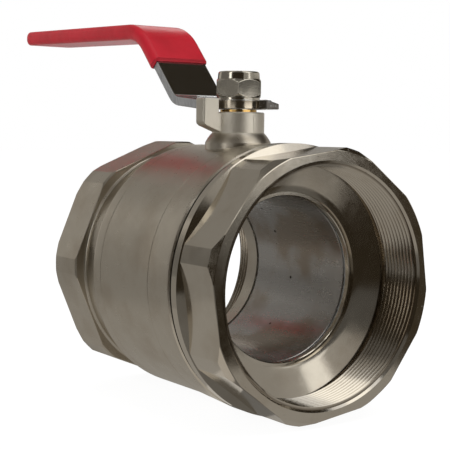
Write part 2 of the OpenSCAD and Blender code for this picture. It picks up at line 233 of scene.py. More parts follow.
def combine(piece: bpy.types.Object, tool: bpy.types.Object, how: Cut) -> bpy.types.Object:
    """Joins, cuts or crosses a piece with another solid.

    Args:
        piece: Object to change.
        tool: Solid to change it with, which is used up.
        how: Way of the change.

    Returns:
        The changed piece.
    """
    pick(piece)
    change = piece.modifiers.new("change", "BOOLEAN")
    change.operation = how.value
    change.solver = "EXACT"
    change.object = tool
    bpy.ops.object.modifier_apply(modifier=change.name)
    bpy.data.objects.remove(tool)
    return piece


def mark(piece: bpy.types.Object, test: Callable[[Vector], bool]) -> None:
    """Enters edit mode and selects the edges whose two ends pass a test.

    Args:
        piece: Object to select on.
        test: Says of a place in millimetres whether it belongs.
    """
    pick(piece)
    bpy.ops.object.mode_set(mode="EDIT")
    bpy.ops.mesh.select_mode(type="EDGE")
    bpy.ops.mesh.select_all(action="DESELECT")
    mesh = bmesh.from_edit_mesh(piece.data)
    for edge in mesh.edges:
        sharp = len(edge.link_faces) == 2 and edge.calc_face_angle(0.0) > math.radians(SHARP)
        edge.select = sharp and all(test(v.co / MM) for v in edge.verts)
    mesh.select_flush_mode()
    bmesh.update_edit_mesh(piece.data)


def round_marked(width: float, segments: int) -> None:
    """Bevels the marked edges to a round and leaves edit mode."""
    bpy.ops.mesh.bevel(offset=width * MM, segments=segments, profile=0.5, clamp_overlap=True)
    bpy.ops.object.mode_set(mode="OBJECT")


def smooth(piece: bpy.types.Object, limit: float = 30.0) -> None:
    """Merges doubled points and shades a piece smooth.

    Args:
        piece: Object to finish.
        limit: Largest angle between faces that are shaded as one, in degrees.
    """
    pick(piece)
    bpy.ops.object.mode_set(mode="EDIT")
    bpy.ops.mesh.select_all(action="SELECT")
    bpy.ops.mesh.remove_doubles(threshold=CLOSE)
    bpy.ops.object.mode_set(mode="OBJECT")
    bpy.ops.object.shade_smooth_by_angle(angle=math.radians(limit))
    even = piece.modifiers.new("even", "WEIGHTED_NORMAL")
    even.keep_sharp = True
    bpy.ops.object.modifier_apply(modifier=even.name)


def ease(piece: bpy.types.Object, width: float, segments: int = 2, angle: float = 48.0) -> None:
    """Breaks the sharp edges of a piece and shades it smooth between them.

    Args:
        piece: Object to finish.
        width: Width of the broken edge, in millimetres.
        segments: Steps across the broken edge.
        angle: Least angle of an edge that is broken, in degrees.
    """
    pick(piece)
    edge = piece.modifiers.new("edge", "BEVEL")
    edge.width = width * MM
    edge.segments = segments
    edge.limit_method = "ANGLE"
    edge.angle_limit = math.radians(angle)
    edge.use_clamp_overlap = False
    bpy.ops.object.modifier_apply(modifier=edge.name)
    smooth(piece)


def sweep(start: Station, stations: Sequence[Station], sizes: Sequence[Point]) -> None:
    """Extrudes the selected end face along a path, in edit mode.

    Args:
        start: Station that the face stands at.
        stations: Stations to carry it to, one extrusion each.
        sizes: Width and thickness at each station, as shares of those at the start.
    """
    last = start
    wide, thick = 1.0, 1.0
    for new, (width, thickness) in zip(stations, sizes):
        step = (new.beside(0.0) - last.beside(0.0)) * MM
        middle = new.beside(0.0) * MM
        bpy.ops.mesh.extrude_region_move(TRANSFORM_OT_translate={"value": step})
        turn = math.radians(last.angle - new.angle)
        bpy.ops.transform.rotate(value=turn, orient_axis="Y", orient_type="GLOBAL",
                                 center_override=middle)
        slim = thickness / thick
        bpy.ops.transform.resize(value=(slim, width / wide, slim), orient_type="GLOBAL",
                                 center_override=middle)
        last, wide, thick = new, width, thickness


class Level:
    """A shader socket that takes part in arithmetic."""

    def __init__(self, sheet: Sheet, socket: bpy.types.NodeSocket | None) -> None:
        """Keeps the socket and the sheet that its nodes go on."""
        self.sheet = sheet
        self.socket = socket

    def _with(self, how: str, first: Level | float, second: Level | float) -> Level:
        """Adds one Math node and returns its result."""
        return self.sheet.node("ShaderNodeMath", {"operation": how}, {0: first, 1: second})

    def __add__(self, other: Level | float) -> Level:
        """Adds a value."""
        return self._with("ADD", self, other)

    __radd__ = __add__

    def __sub__(self, other: Level | float) -> Level:
        """Takes a value away."""
        return self._with("SUBTRACT", self, other)

    def __rsub__(self, other: Level | float) -> Level:
        """Takes this from a value."""
        return self._with("SUBTRACT", other, self)

    def __mul__(self, other: Level | float) -> Level:
        """Multiplies by a value."""
        return self._with("MULTIPLY", self, other)

    __rmul__ = __mul__

    def __pow__(self, other: Level | float) -> Level:
        """Raises to a power."""
        return self._with("POWER", self, other)

    def __abs__(self) -> Level:
        """Drops the sign."""
        return self._with("ABSOLUTE", self, 0.0)

    def over(self, low: float, high: float) -> Level:
        """Rises from 0 at one value to 1 at another, smoothly."""
        return self.sheet.node(
            "ShaderNodeMapRange",
            {"interpolation_type": "SMOOTHSTEP"},
            {0: self, 1: low, 2: high, 3: 0.0, 4: 1.0},
        )

    def band(self, middle: float, half: float) -> Level:
        """Is 1 at a value and falls to 0 a little way off it."""
        return 1.0 - abs(self - middle).over(0.0, half)


class Sheet:
    """Node sheet of one material or of the surroundings."""

    def __init__(self, owner: bpy.types.Material | bpy.types.World) -> None:
        """Empties the sheet of a new material or of the surroundings.

        Args:
            owner: What the sheet belongs to.
        """
        owner.use_nodes = True
        self.owner = owner
        self.tree = owner.node_tree
        self.tree.nodes.clear()

    def node(self, kind: str, settings: dict | None = None, inputs: dict | None = None,
             output: int | str = 0) -> Level:
        """Adds a node.

        Args:
            kind: Type of the node.
            settings: Values of its own settings; "stops" holds a ramp's places and colours.
            inputs: Values or links of its sockets, by name or number.
            output: Socket to return.

        Returns:
            The chosen output.
        """
        made = self.tree.nodes.new(kind)
        for key, value in (settings or {}).items():
            if key == "stops":
                while len(made.color_ramp.elements) < len(value):
                    made.color_ramp.elements.new(1.0)
                for stop, (place, colour) in zip(made.color_ramp.elements, value):
                    stop.position = place
                    stop.color = (*colour, 1.0)
            else:
                setattr(made, key, value)
        for key, value in (inputs or {}).items():
            if isinstance(value, Level):
                self.tree.links.new(value.socket, made.inputs[key])
            else:
                made.inputs[key].default_value = value
        return Level(self, made.outputs[output] if made.outputs else None)

    def place(self) -> Level:
        """Returns the place on the piece, in millimetres."""
        spot = self.node("ShaderNodeTexCoord", output="Object")
        return self.node("ShaderNodeVectorMath", {"operation": "SCALE"}, {0: spot, "Scale": 1 / MM})

    def split(self, vector: Level) -> tuple[Level, Level, Level]:
        """Takes a vector apart.

        Args:
            vector: Vector to take apart.

        Returns:
            Its three parts.
        """
        parts = self.node("ShaderNodeSeparateXYZ", None, {0: vector})
        outputs = parts.socket.node.outputs
        return parts, Level(self, outputs[1]), Level(self, outputs[2])

    def join(self, x: Level | float, y: Level | float, z: Level | float) -> Level:
        """Returns a vector of three values."""
        return self.node("ShaderNodeCombineXYZ", None, {0: x, 1: y, 2: z})

    def noise(self, spot: Level, scale: float, detail: float = 2.0, rough: float = 0.5) -> Level:
        """Returns smooth random values about one half, at so many cells to the millimetre."""
        return self.node(
            "ShaderNodeTexNoise",
            None,
            {"Vector": spot, "Scale": scale, "Detail": detail, "Roughness": rough},
        )

    def specks(self, spot: Level, scale: float, size: float) -> Level:
        """Returns a mask of scattered round specks."""
        far = self.node("ShaderNodeTexVoronoi", None, {"Vector": spot, "Scale": scale})
        return 1.0 - far.over(size * 0.5, size)

    def mix(self, share: Level, first: Colour | Level, second: Colour | Level) -> Level:
        """Mixes two colours.

        Args:
            share: Share of the second colour.
            first: Colour at a share of 0.
            second: Colour at a share of 1.

        Returns:
            The mixed colour.
        """
        first = first if isinstance(first, Level) else (*first, 1.0)
        second = second if isinstance(second, Level) else (*second, 1.0)
        return self.node(
            "ShaderNodeMix",
            {"data_type": "RGBA", "clamp_factor": True},
            {0: share, 6: first, 7: second},
            2,
        )

    def bump(self, height: Level, depth: float) -> Level:
        """Turns a height into a normal, with its full depth in millimetres."""
        return self.node(
            "ShaderNodeBump", None, {"Height": height, "Strength": 1.0, "Distance": depth * MM}, "Normal"
        )

    def surface(self, inputs: dict) -> bpy.types.Material:
        """Ends the sheet with a Principled shader.

        Args:
            inputs: Values or links of the shader's sockets, by name.

        Returns:
            The finished material.
        """
        self.show(self.node("ShaderNodeBsdfPrincipled", None, inputs))
        return self.owner

    def show(self, shader: Level) -> None:
        """Makes a shader the surface of the material."""
        self.node("ShaderNodeOutputMaterial", None, {"Surface": shader})


def new_sheet(name: str) -> Sheet:
    """Starts a material with an empty sheet."""
    return Sheet(bpy.data.materials.new(name))


@dataclass(frozen=True)
class Plating:
    """Nickel plating over forged or turned brass."""

    name: str
    tint: Colour
    stain: Colour
    roughness: float
    grain: float
    grain_depth: float
    lathe_depth: float
    blast: float = 0.0
    nicks: float = 0.0
    # Share of painted shade in the grooves of a thread
    groove_shade: float = 0.0
    blast_heights: Point = (68.0, 69.6)
    # Middle and half height of the band of painted shade at the neck's foot
    foot_shade_band: Point = (66.4, 3.0)
    nick_places: Point = (69.5, 71.0)
    # Radii over which the painted shade in a thread's grooves sets in
    groove_shade_radii: Point = (55.2, 56.4)
    blast_tint: Colour = (0.84, 0.80, 0.72)
    # Colour of the painted shade at the neck's foot
    foot_shade_tint: Colour = (0.34, 0.30, 0.24)
    # Colour of the painted shade in a thread's grooves
    groove_shade_tint: Colour = (0.16, 0.12, 0.08)

    def material(self) -> bpy.types.Material:
        """Builds the finish: blotched tint, grain, turning marks, blasted neck, painted shade at the neck's
        foot, nicked face, painted shade in a thread's grooves.

        Returns:
            The finish's material.
        """
        sheet = new_sheet(self.name)
        spot = sheet.place()
        x, y, z = sheet.split(spot)
        radius = (y * y + z * z) ** 0.5
        blotch = sheet.noise(spot, 0.045, 4.0, 0.6)
        cloud = sheet.noise(spot, 0.16, 3.0)
        grain = sheet.noise(spot, self.grain, 3.0, 0.6)
        rings = sheet.noise(sheet.join(x, radius, 0.0), 1.7, 3.0, 0.7)
        share = blotch.over(0.42, 0.72) * 0.7 + (grain - 0.5) * 0.35
        blasted = z.over(*self.blast_heights) * self.blast
        nick = sheet.specks(spot, 0.22, 0.08) * x.over(*self.nick_places) * self.nicks
        # Painted shade: a thread darkens towards its roots, in its grooves
        painted_darkening = radius.over(*self.groove_shade_radii) * self.groove_shade
        height = grain * self.grain_depth + rings * self.lathe_depth - nick
        plate = sheet.mix(share, self.tint, self.stain)
        # Painted shade: the neck's foot is darkened in a band where it meets the barrel
        dull = sheet.mix(z.band(*self.foot_shade_band) * self.blast * 0.7, plate, self.foot_shade_tint)
        pale = sheet.mix(blasted, dull, self.blast_tint)
        return sheet.surface({
            "Base Color": sheet.mix(painted_darkening, pale, self.groove_shade_tint),
            "Metallic": 1.0,
            "Roughness": (cloud - 0.5) * 0.16 + (grain - 0.5) * 0.12 + blasted * 0.2 + self.roughness,
            "Normal": sheet.bump(height, 1.0),
        })


@dataclass(frozen=True)
class HardChrome:
    """Polished hard chrome with a few pits and water marks."""

    name: str
    tint: Colour
    mark: Colour
    pit: Colour
    roughness: float

    def material(self) -> bpy.types.Material:
        """Builds the finish: faint drawn streaks along the bore, marks and small dark pits.

        Returns:
            The finish's material.
        """
        sheet = new_sheet(self.name)
        spot = sheet.place()
        x, y, z = sheet.split(spot)
        streak = sheet.noise(sheet.join(x * 0.25, y, z), 0.35, 3.0)
        cloud = sheet.noise(spot, 0.035, 3.0)
        pits = sheet.specks(spot, 0.09, 0.09)
        stained = sheet.mix(cloud.over(0.42, 0.62), self.tint, self.mark)
        return sheet.surface({
            "Base Color": sheet.mix(pits, stained, self.pit),
            "Metallic": 1.0,
            "Roughness": (streak - 0.5) * 0.12 + pits * 0.3 + self.roughness,
            "Normal": sheet.bump(streak, 0.004),
        })


@dataclass(frozen=True)
class Zinc:
    """Bright zinc plating on stamped steel, with sheared edges."""

    name: str
    tint: Colour
    dull: Colour
    # Bronze of the eye ring and soot of the tab: partly oily grime, partly painted shade under the nut
    bronze_and_shade: Colour
    soot_and_shade: Colour
    roughness: float
    shear: float
    flat_top: float = 92.0
    side_facing: Point = (0.75, 0.95)
    upright_facing: Point = (0.5, 0.2)
    tab_places: Point = (11.9, 12.6)
    eye_places: Point = (-9.0, -5.0)

    def material(self) -> bpy.types.Material:
        """Builds the finish: bright faces, dull shear marks on the cut edges, dark ones on the tab and a
        bronze eye ring; the tab's dark and the ring's bronze are partly oily grime and partly painted shade
        under the nut.

        Returns:
            The finish's material.
        """
        sheet = new_sheet(self.name)
        spot = sheet.place()
        x, y, z = sheet.split(spot)
        facing = sheet.split(sheet.node("ShaderNodeTexCoord", output="Normal"))
        side = abs(facing[1]).over(*self.side_facing)
        flat = z.over(self.flat_top, self.flat_top - 1.0)
        upright = abs(facing[2]).over(*self.upright_facing) * flat
        tab = upright * x.over(*self.tab_places)
        ring = upright * x.over(*self.eye_places)
        eye = ring * (1.0 - tab)
        edge = side * (1.0 - ring) + tab
        tear = sheet.noise(sheet.join(x + z * 0.3, y, z * 0.12), 1.3, 3.0, 0.7)
        scratch = sheet.noise(sheet.join(x * 0.4, y * 0.4 + z * 0.5, z - y), 1.6, 2.0, 0.6)
        cloud = sheet.noise(spot, 0.08, 3.0)
        share = edge * (tear.over(0.35, 0.65) * 0.6 + 0.3) + cloud.over(0.5, 0.8) * 0.3
        # Painted shade under the nut, partly oily grime: the tab's cut faces go dark and the eye ring's cut
        # face goes bronze
        painted_darkening = tab * (1.0 - scratch.over(0.60, 0.68))
        worn = sheet.mix(share, self.tint, self.dull)
        bronzed_and_shaded = sheet.mix(eye * 0.85, worn, self.bronze_and_shade)
        return sheet.surface({
            "Base Color": sheet.mix(painted_darkening, bronzed_and_shaded, self.soot_and_shade),
            "Metallic": 1.0 - side * (1.0 - ring) * 0.25,
            "Roughness": (edge * (0.16 + tear * 0.2) + eye * 0.08 + (cloud - 0.5) * 0.08
                          + self.roughness),
            "Normal": sheet.bump(edge * tear, self.shear),
        })


@dataclass(frozen=True)
class Vinyl:
    """Glossy vinyl that a plate was dipped in."""

    name: str
    tint: Colour
    deep: Colour
    roughness: float

    def material(self) -> bpy.types.Material:
        """Builds the finish: slightly uneven colour, a dipped ripple and a smooth coat.

        Returns:
            The finish's material.
        """
        sheet = new_sheet(self.name)
        spot = sheet.place()
        cloud = sheet.noise(spot, 0.05, 3.0)
        ripple = sheet.noise(spot, 0.16, 1.0)
        skin = sheet.noise(spot, 1.1, 2.0)
        dust = sheet.specks(spot, 0.25, 0.06)
        share = cloud.over(0.35, 0.7) * 0.8 + dust * 0.5
        return sheet.surface({
            "Base Color": sheet.mix(share, self.tint, self.deep),
            "Roughness": (skin - 0.5) * 0.12 + dust * 0.3 + self.roughness,
            "IOR": 1.45,
            "Specular IOR Level": 0.35,
            "Coat Weight": 0.06,
            "Coat Roughness": 0.12,
            "Normal": sheet.bump(ripple * 0.16 + skin * 0.012, 1.0),
        })


@dataclass(frozen=True)
class Moulded:
    """Plain moulded or turned plastic or rubber."""

    name: str
    tint: Colour
    shade: Colour
    roughness: float

    def material(self) -> bpy.types.Material:
        """Builds the finish: a soft mottle and a fine grain.

        Returns:
            The finish's material.
        """
        sheet = new_sheet(self.name)
        spot = sheet.place()
        cloud = sheet.noise(spot, 0.2, 3.0)
        grain = sheet.noise(spot, 2.2, 2.0)
        return sheet.surface({
            "Base Color": sheet.mix(cloud.over(0.35, 0.75), self.tint, self.shade),
            "Roughness": (grain - 0.5) * 0.2 + self.roughness,
            "Normal": sheet.bump(grain, 0.02),
        })


Finish = Plating | HardChrome | Zinc | Vinyl | Moulded

# The forged body gets painted shade at the neck's foot, scaled with its blast
FORGED = Plating("forged_nickel", tint=(0.60, 0.555, 0.48), stain=(0.50, 0.44, 0.36), roughness=0.31,
                 grain=1.5, grain_depth=0.02, lathe_depth=0.006, blast=0.9)
TURNED = Plating("turned_nickel", tint=(0.64, 0.595, 0.52), stain=(0.55, 0.49, 0.41), roughness=0.13,
                 grain=1.9, grain_depth=0.004, lathe_depth=0.006, nicks=0.2)
# The port threads get painted shade in their grooves
THREADED = Plating("threaded_nickel", tint=TURNED.tint, stain=TURNED.stain, roughness=0.14,
                   grain=1.9, grain_depth=0.004, lathe_depth=0.006, groove_shade=0.72)
BRIGHT = Plating("bright_nickel", tint=(0.66, 0.625, 0.55), stain=(0.58, 0.53, 0.45), roughness=0.14,
                 grain=2.2, grain_depth=0.006, lathe_depth=0.004)
BRASS = Plating("bare_brass", tint=(0.66, 0.43, 0.16), stain=(0.50, 0.31, 0.11), roughness=0.2,
                grain=2.0, grain_depth=0.004, lathe_depth=0.008)
CHROME = HardChrome("hard_chrome", tint=(0.49, 0.48, 0.47), mark=(0.37, 0.32, 0.27),
                    pit=(0.07, 0.06, 0.05), roughness=0.28)
ZINC = Zinc("bright_zinc", tint=(0.64, 0.65, 0.66), dull=(0.40, 0.41, 0.43), bronze_and_shade=(0.50, 0.43, 0.33),
            soot_and_shade=(0.15, 0.14, 0.13), roughness=0.13, shear=0.1)
VINYL = Vinyl("red_vinyl", (0.50, 0.010, 0.024), (0.40, 0.007, 0.017), 0.34)
FLUOROPLASTIC = Moulded("fluoroplastic", (0.82, 0.82, 0.79), (0.74, 0.73, 0.69), 0.42)
RUBBER = Moulded("seal_rubber", (0.03, 0.03, 0.03), (0.02, 0.02, 0.02), 0.5)
NYLON = Moulded("lock_nylon", (0.70, 0.71, 0.69), (0.62, 0.63, 0.60), 0.4)


class Finishes:
    """Materials of the finishes, each made once."""

    def __init__(self) -> None:
        """Starts with no material made."""
        self.made: dict[str, bpy.types.Material] = {}

    def dress(self, piece: bpy.types.Object, finish: Finish) -> None:
        """Gives a piece one finish all over.

        Args:
            piece: Object to dress.
            finish: Finish to give it.
        """
        if finish.name not in self.made:
            self.made[finish.name] = finish.material()
        if not piece.material_slots:
            piece.data.materials.append(self.made[finish.name])
        for place in piece.material_slots:
            place.material = self.made[finish.name]


@dataclass
class Octagon:
    """Spanner octagon with a port, at one end of the valve, in millimetres."""

    across: float = 122.0
    corner: float = 64.5
    bevel_radius: float = 62.225
    bevel: float = 3.0
    inner_bevel: float = 0.8
    edge: float = 0.35

    def solid(self, name: str, inner: float, outer: float, turn: float) -> bpy.types.Object:
        """Builds the octagon without its port.

        Args:
            name: Name of the new object.
            inner: Place of its inner end along the flow.
            outer: Place of its outer end along the flow.
            turn: Turn about the flow axis, in degrees.

        Returns:
            The octagon, with its corners turned round.
        """
        way = 1 if outer > inner else -1
        piece = prism(name, 8, self.across, min(inner, outer), max(inner, outer), Axis.FLOW, turn)
        mark(piece, lambda p: True)
        round_marked(self.edge, 2)
        corners = turned("corners", [
            (inner, 0.0),
            (inner, self.corner - self.inner_bevel),
            (inner + way * self.inner_bevel, self.corner),
            (outer - way * self.bevel, self.corner),
            (outer - way * self.edge / 2, self.bevel_radius + self.edge / 2),
            (outer, self.bevel_radius - self.edge / 2),
            (outer, 0.0),
        ], Axis.FLOW)
        return combine(piece, corners, Cut.KEEP_COMMON)


@dataclass
class Port:
    """Threaded port with its relief, cone and lip, in millimetres."""

    lip: float
    mouth: float
    radius: float = 56.5
    bore: float = 40.0
    thread_length: float = 22.5
    mouth_bevel: float = 1.0
    relief_length: float = 2.4
    relief_cut: float = 0.6
    lip_step: float = 2.0
    lip_depth: float = 1.2
    cone_in: float = 5.5
    cone_start: float = 2.0
    cone_drop: float = 1.5
    relief_flank: float = 0.8
    lip_edge: float = 0.35
    crest: float = 55.022
    crest_half: float = 0.1
    crest_round: float = 0.12
    pitch: float = 2.309
    root_gap: float = 0.02
    sink: float = 0.05
    steps: int = 144
    shade_limit: float = 40.0

    def way(self) -> int:
        """Returns 1 for a port that opens to the front and -1 for one that opens to the rear."""
        return 1 if self.mouth > self.lip else -1

    def space(self) -> bpy.types.Object:
        """Builds the space of the port.

        Returns:
            The solid to be cut out.
        """
        way = self.way()
        relief = self.mouth - way * (self.mouth_bevel + self.thread_length)
        return turned("port_space", [
            (self.lip - way * PAST, 0.0),
            (self.lip - way * PAST, self.bore),
            (self.lip, self.bore),
            (self.lip + way * self.lip_edge, self.bore + self.lip_edge),
            (self.lip + way * self.lip_edge, self.bore + self.lip_step),
            (self.lip + way * self.lip_depth, self.bore + self.lip_step),
            (self.lip + way * self.cone_start, self.bore + self.cone_in),
            (relief - way * self.relief_length, self.radius - self.cone_drop),
            (relief - way * (self.relief_length - self.relief_flank), self.radius + self.relief_cut),
            (relief, self.radius + self.relief_cut),
            (relief + way * self.relief_cut, self.radius),
            (self.mouth - way * self.mouth_bevel, self.radius),
            (self.mouth, self.radius + self.mouth_bevel),
            (self.mouth + way * PAST, self.radius + self.mouth_bevel),
            (self.mouth + way * PAST, 0.0),
        ], Axis.FLOW)

    def thread(self, name: str) -> bpy.types.Object:
        """Builds the thread as one helical ridge that stands on the wall of the port.

        Args:
            name: Name of the new object.

        Returns:
            The ridge, cut off square at both ends of the threaded stretch.
        """
        way = self.way()
        outer = self.mouth - way * self.mouth_bevel
        inner = outer - way * (self.thread_length - self.relief_cut)
        low, high = sorted((inner, outer))
        sunk = self.radius + self.sink
        half = self.pitch / 2 - self.root_gap
        flank = self.crest_half + self.crest_round
        start = low - self.pitch
        turns = math.ceil((high - low) / self.pitch) + 2
        ridge = [(-half, sunk), (-flank, self.crest + self.crest_round), (-self.crest_half, self.crest),
                 (self.crest_half, self.crest), (flank, self.crest + self.crest_round), (half, sunk)]
        piece = chain(name, [Vector((start + along, 0.0, radius)) for along, radius in ridge])
        bpy.ops.mesh.edge_face_add()
        bpy.ops.mesh.delete(type="ONLY_FACE")
        bpy.ops.object.mode_set(mode="OBJECT")
        helix = piece.modifiers.new("helix", "SCREW")
        helix.axis = "X"
        helix.angle = math.tau
        helix.screw_offset = self.pitch * MM
        helix.iterations = turns
        helix.steps = self.steps
        helix.render_steps = self.steps
        helix.use_merge_vertices = True
        helix.merge_threshold = MERGE
        pick(piece)
        bpy.ops.object.modifier_apply(modifier=helix.name)
        bpy.ops.object.mode_set(mode="EDIT")
        for cut, out in ((low, -1), (high, 1)):
            bpy.ops.mesh.select_all(action="SELECT")
            bpy.ops.mesh.bisect(plane_co=(cut * MM, 0, 0), plane_no=(out, 0, 0), use_fill=True,
                                clear_outer=True, threshold=MERGE)
        bpy.ops.mesh.select_all(action="SELECT")
        bpy.ops.mesh.normals_make_consistent(inside=False)
        bpy.ops.object.mode_set(mode="OBJECT")
        bpy.ops.object.shade_smooth_by_angle(angle=math.radians(self.shade_limit))
        return piece


@dataclass
class Housing:
    """Forged body, end cap and their threads, in millimetres."""

    octagon: Octagon
    front: Port
    rear: Port
    front_turn: float = -14.5
    octagon_length: float = 25.5
    barrel: float = 63.2
    rim: float = 64.87
    rim_length: float = 3.0
    rim_bevel: float = 0.7
    swell_start: float = 8.0
    rear_line: float = -26.5
    front_line: float = 20.0
    line_depth: float = 0.14
    line_half: float = 0.35
    joint_gap: float = 1.6
    collar_length: float = 4.9
    ledge: float = 2.0
    spigot: float = 58.8
    spigot_bevel: float = 0.8
    cap_end: float = 29.0
    seal_seat: float = 27.0
    thread_play: float = 0.1
    seat_back: float = 37.4767
    seat_face: float = 26.85
    seat_out: float = 50.15
    cavity: float = 55.4
    shoulder: float = 4.5
    waist: float = 58.7
    waist_fillet: float = 1.6
    neck: float = 13.0
    neck_top: float = 79.6
    neck_bevel: float = 0.5
    neck_root: float = 2.0
    foot: float = 16.5
    foot_steps: int = 9
    foot_low: float = 64.4
    foot_top: float = 69.4
    foot_bulge: float = 0.22
    seam_width: float = 0.5
    seam_height: float = 0.15
    lug_back: float = -3.85
    lug_thickness: float = 7.4
    lug_reach: float = 23.25
    lug_top: float = 86.2
    lug_low: float = 72.8
    lug_root: float = 69.6
    lug_heel: float = 1.8
    lug_round: float = 1.5
    lug_round_from: float = 1.0
    lug_gap: float = 14.0
    box_radius: float = 9.15
    box_bottom: float = 69.5
    guide: float = 7.08
    flange_room: float = 11.15
    guide_bottom: float = 58.45
    facet: float = 16.5

    def line(self, along: float, radius: float) -> list[Point]:
        """Returns the section of a fine turned line in the barrel."""
        half = self.line_half
        return [(along - half, radius), (along, radius - self.line_depth), (along + half, radius)]

    def barrel_front(self) -> float:
        """Returns the place of the barrel's front end along the flow."""
        return self.front.mouth - self.octagon_length - self.collar_length - self.joint_gap

    def barrel_section(self) -> list[Point]:
        """Draws the half section of the barrel from the rear octagon to the front rim.

        Returns:
            Places along the flow and radii.
        """
        front = self.barrel_front()
        rear = self.rear.mouth + self.octagon_length
        fillet = [(rear + self.waist_fillet * (1 - math.cos(a)),
                   self.waist + self.waist_fillet * (1 - math.sin(a))) for a in QUARTER]
        round_off = [(-self.seat_back + self.shoulder * (1 - math.cos(a)),
                      self.waist + self.shoulder * math.sin(a)) for a in QUARTER]
        swell = self.swell_start
        rim_start = front - self.rim_length
        grown = (self.front_line - swell) / (rim_start - swell)
        at_line = self.barrel + (self.rim - self.barrel) * grown
        return [
            (rear - PAST, 0.0),
            (rear - PAST, self.waist + self.waist_fillet),
            *fillet,
            *round_off,
            *self.line(self.rear_line, self.barrel),
            (swell, self.barrel),
            *self.line(self.front_line, at_line),
            (rim_start, self.rim),
            (front - self.rim_bevel, self.rim),
            (front, self.rim - self.rim_bevel),
            (front, 0.0),
        ]

    def add_neck(self, piece: bpy.types.Object) -> None:
        """Adds the neck with its foot, its parting lines and the stop lug.

        Args:
            piece: Body to add them to.
        """
        rise = self.foot_top - self.foot_low
        spread = self.foot - self.neck
        bulge = self.foot_bulge
        steps = self.foot_steps
        arc = [(step / steps, math.pi / 2 * step / steps) for step in range(steps + 1)]
        flare = [(self.foot_low + rise * (share + bulge * (math.sin(a) - share)),
                  self.neck + spread * (1 - share + bulge * (math.cos(a) - 1 + share)))
                 for share, a in arc]
        neck = turned("neck", [
            (self.cavity + self.neck_root, 0.0),
            (self.cavity + self.neck_root, self.foot),
            *flare,
            (self.neck_top - self.neck_bevel, self.neck),
            (self.neck_top, self.neck - self.neck_bevel),
            (self.neck_top, 0.0),
        ], Axis.STEM, SMALL_STEPS)
        lug = slab("lug", [Vector((self.lug_back, y, z)) for y, z in (
            (-self.box_radius - PAST, self.lug_root),
            (-self.neck, self.lug_root),
            (self.lug_heel - self.lug_reach, self.lug_low),
            (-self.lug_reach, self.lug_low + self.lug_heel),
            (-self.lug_reach, self.lug_top),
            (-self.lug_gap, self.lug_top),
            (-self.lug_gap, self.neck_top - self.neck_bevel),
            (-self.box_radius - PAST, self.neck_top - self.neck_bevel),
        )], Vector((self.lug_thickness, 0.0, 0.0)))
        start = self.lug_low + self.lug_round_from
        mark(lug, lambda p: p.y < -self.lug_reach + NEAR and p.z > start)
        round_marked(self.lug_round, ROUND_STEPS)
        for side in (self.lug_back, self.lug_back + self.lug_thickness):
            mark(lug, lambda p, side=side: abs(p.x - side) < CLOSE / MM)
            round_marked(self.octagon.edge, 2)
        combine(neck, lug, Cut.JOIN)
        for way in (1, -1):
            seam = slab("seam", [Vector((way * x, y, self.foot_top - self.seam_width)) for x, y in (
                (self.neck - self.seam_width, -self.seam_width),
                (self.neck + self.seam_height, 0.0),
                (self.neck - self.seam_width, self.seam_width),
            )], Vector((0.0, 0.0, self.neck_top - self.foot_top)))
            combine(neck, seam, Cut.JOIN)
        combine(piece, neck, Cut.JOIN)

    def build_body(self) -> bpy.types.Object:
        """Builds the forged body with its barrel, rear octagon, neck and lug.

        Returns:
            The body, cut out for the flow, the seats and the stem.
        """
        front = self.barrel_front()
        piece = turned("forged_body", self.barrel_section(), Axis.FLOW)
        inner = self.rear.mouth + self.octagon_length
        rear = self.octagon.solid("rear_octagon", inner, self.rear.mouth, 0.0)
        combine(piece, rear, Cut.JOIN)
        self.add_neck(piece)
        combine(piece, turned("body_space", [
            (self.rear.lip - PAST, 0.0),
            (self.rear.lip - PAST, self.rear.bore),
            (-self.seat_back, self.rear.bore),
            (-self.seat_back, self.seat_out),
            (-self.seat_face, self.seat_out),
            (-self.seat_face, self.cavity),
            (self.seal_seat, self.cavity),
            (self.seal_seat, self.spigot + self.thread_play),
            (front + PAST, self.spigot + self.thread_play),
            (front + PAST, 0.0),
        ], Axis.FLOW), Cut.TAKE_OFF)
        combine(piece, self.rear.space(), Cut.TAKE_OFF)
        combine(piece, turned("stem_space", [
            (0.0, 0.0),
            (0.0, self.flange_room),
            (self.guide_bottom, self.flange_room),
            (self.guide_bottom, self.guide),
            (self.box_bottom, self.guide),
            (self.box_bottom, self.box_radius),
            (self.neck_top + PAST, self.box_radius),
            (self.neck_top + PAST, 0.0),
        ], Axis.STEM, SMALL_STEPS), Cut.TAKE_OFF)
        return piece

    def build_cap(self) -> bpy.types.Object:
        """Builds the end cap with its front octagon, collar and spigot.

        Returns:
            The end cap, cut out for its port and its seat.
        """
        inner = self.front.mouth - self.octagon_length
        collar = inner - self.collar_length
        piece = turned("end_cap_blank", [
            (self.cap_end, 0.0),
            (self.cap_end, self.spigot - self.spigot_bevel),
            (self.cap_end + self.spigot_bevel, self.spigot),
            (collar, self.spigot),
            (collar, self.rim - self.rim_bevel),
            (collar + self.rim_bevel, self.rim),
            (inner, self.rim),
            (inner + self.ledge, self.octagon.across / 2),
            (inner + self.ledge, 0.0),
        ], Axis.FLOW)
        octagon = self.octagon.solid("front_octagon", inner, self.front.mouth, self.front_turn)
        combine(piece, octagon, Cut.JOIN)
        combine(piece, self.front.space(), Cut.TAKE_OFF)
        combine(piece, turned("seat_space", [
            (self.cap_end - PAST, 0.0),
            (self.cap_end - PAST, self.seat_out),
            (self.seat_back, self.seat_out),
            (self.seat_back, self.front.bore),
            (self.front.lip, self.front.bore),
            (self.front.lip, 0.0),
        ], Axis.FLOW), Cut.TAKE_OFF)
        return piece

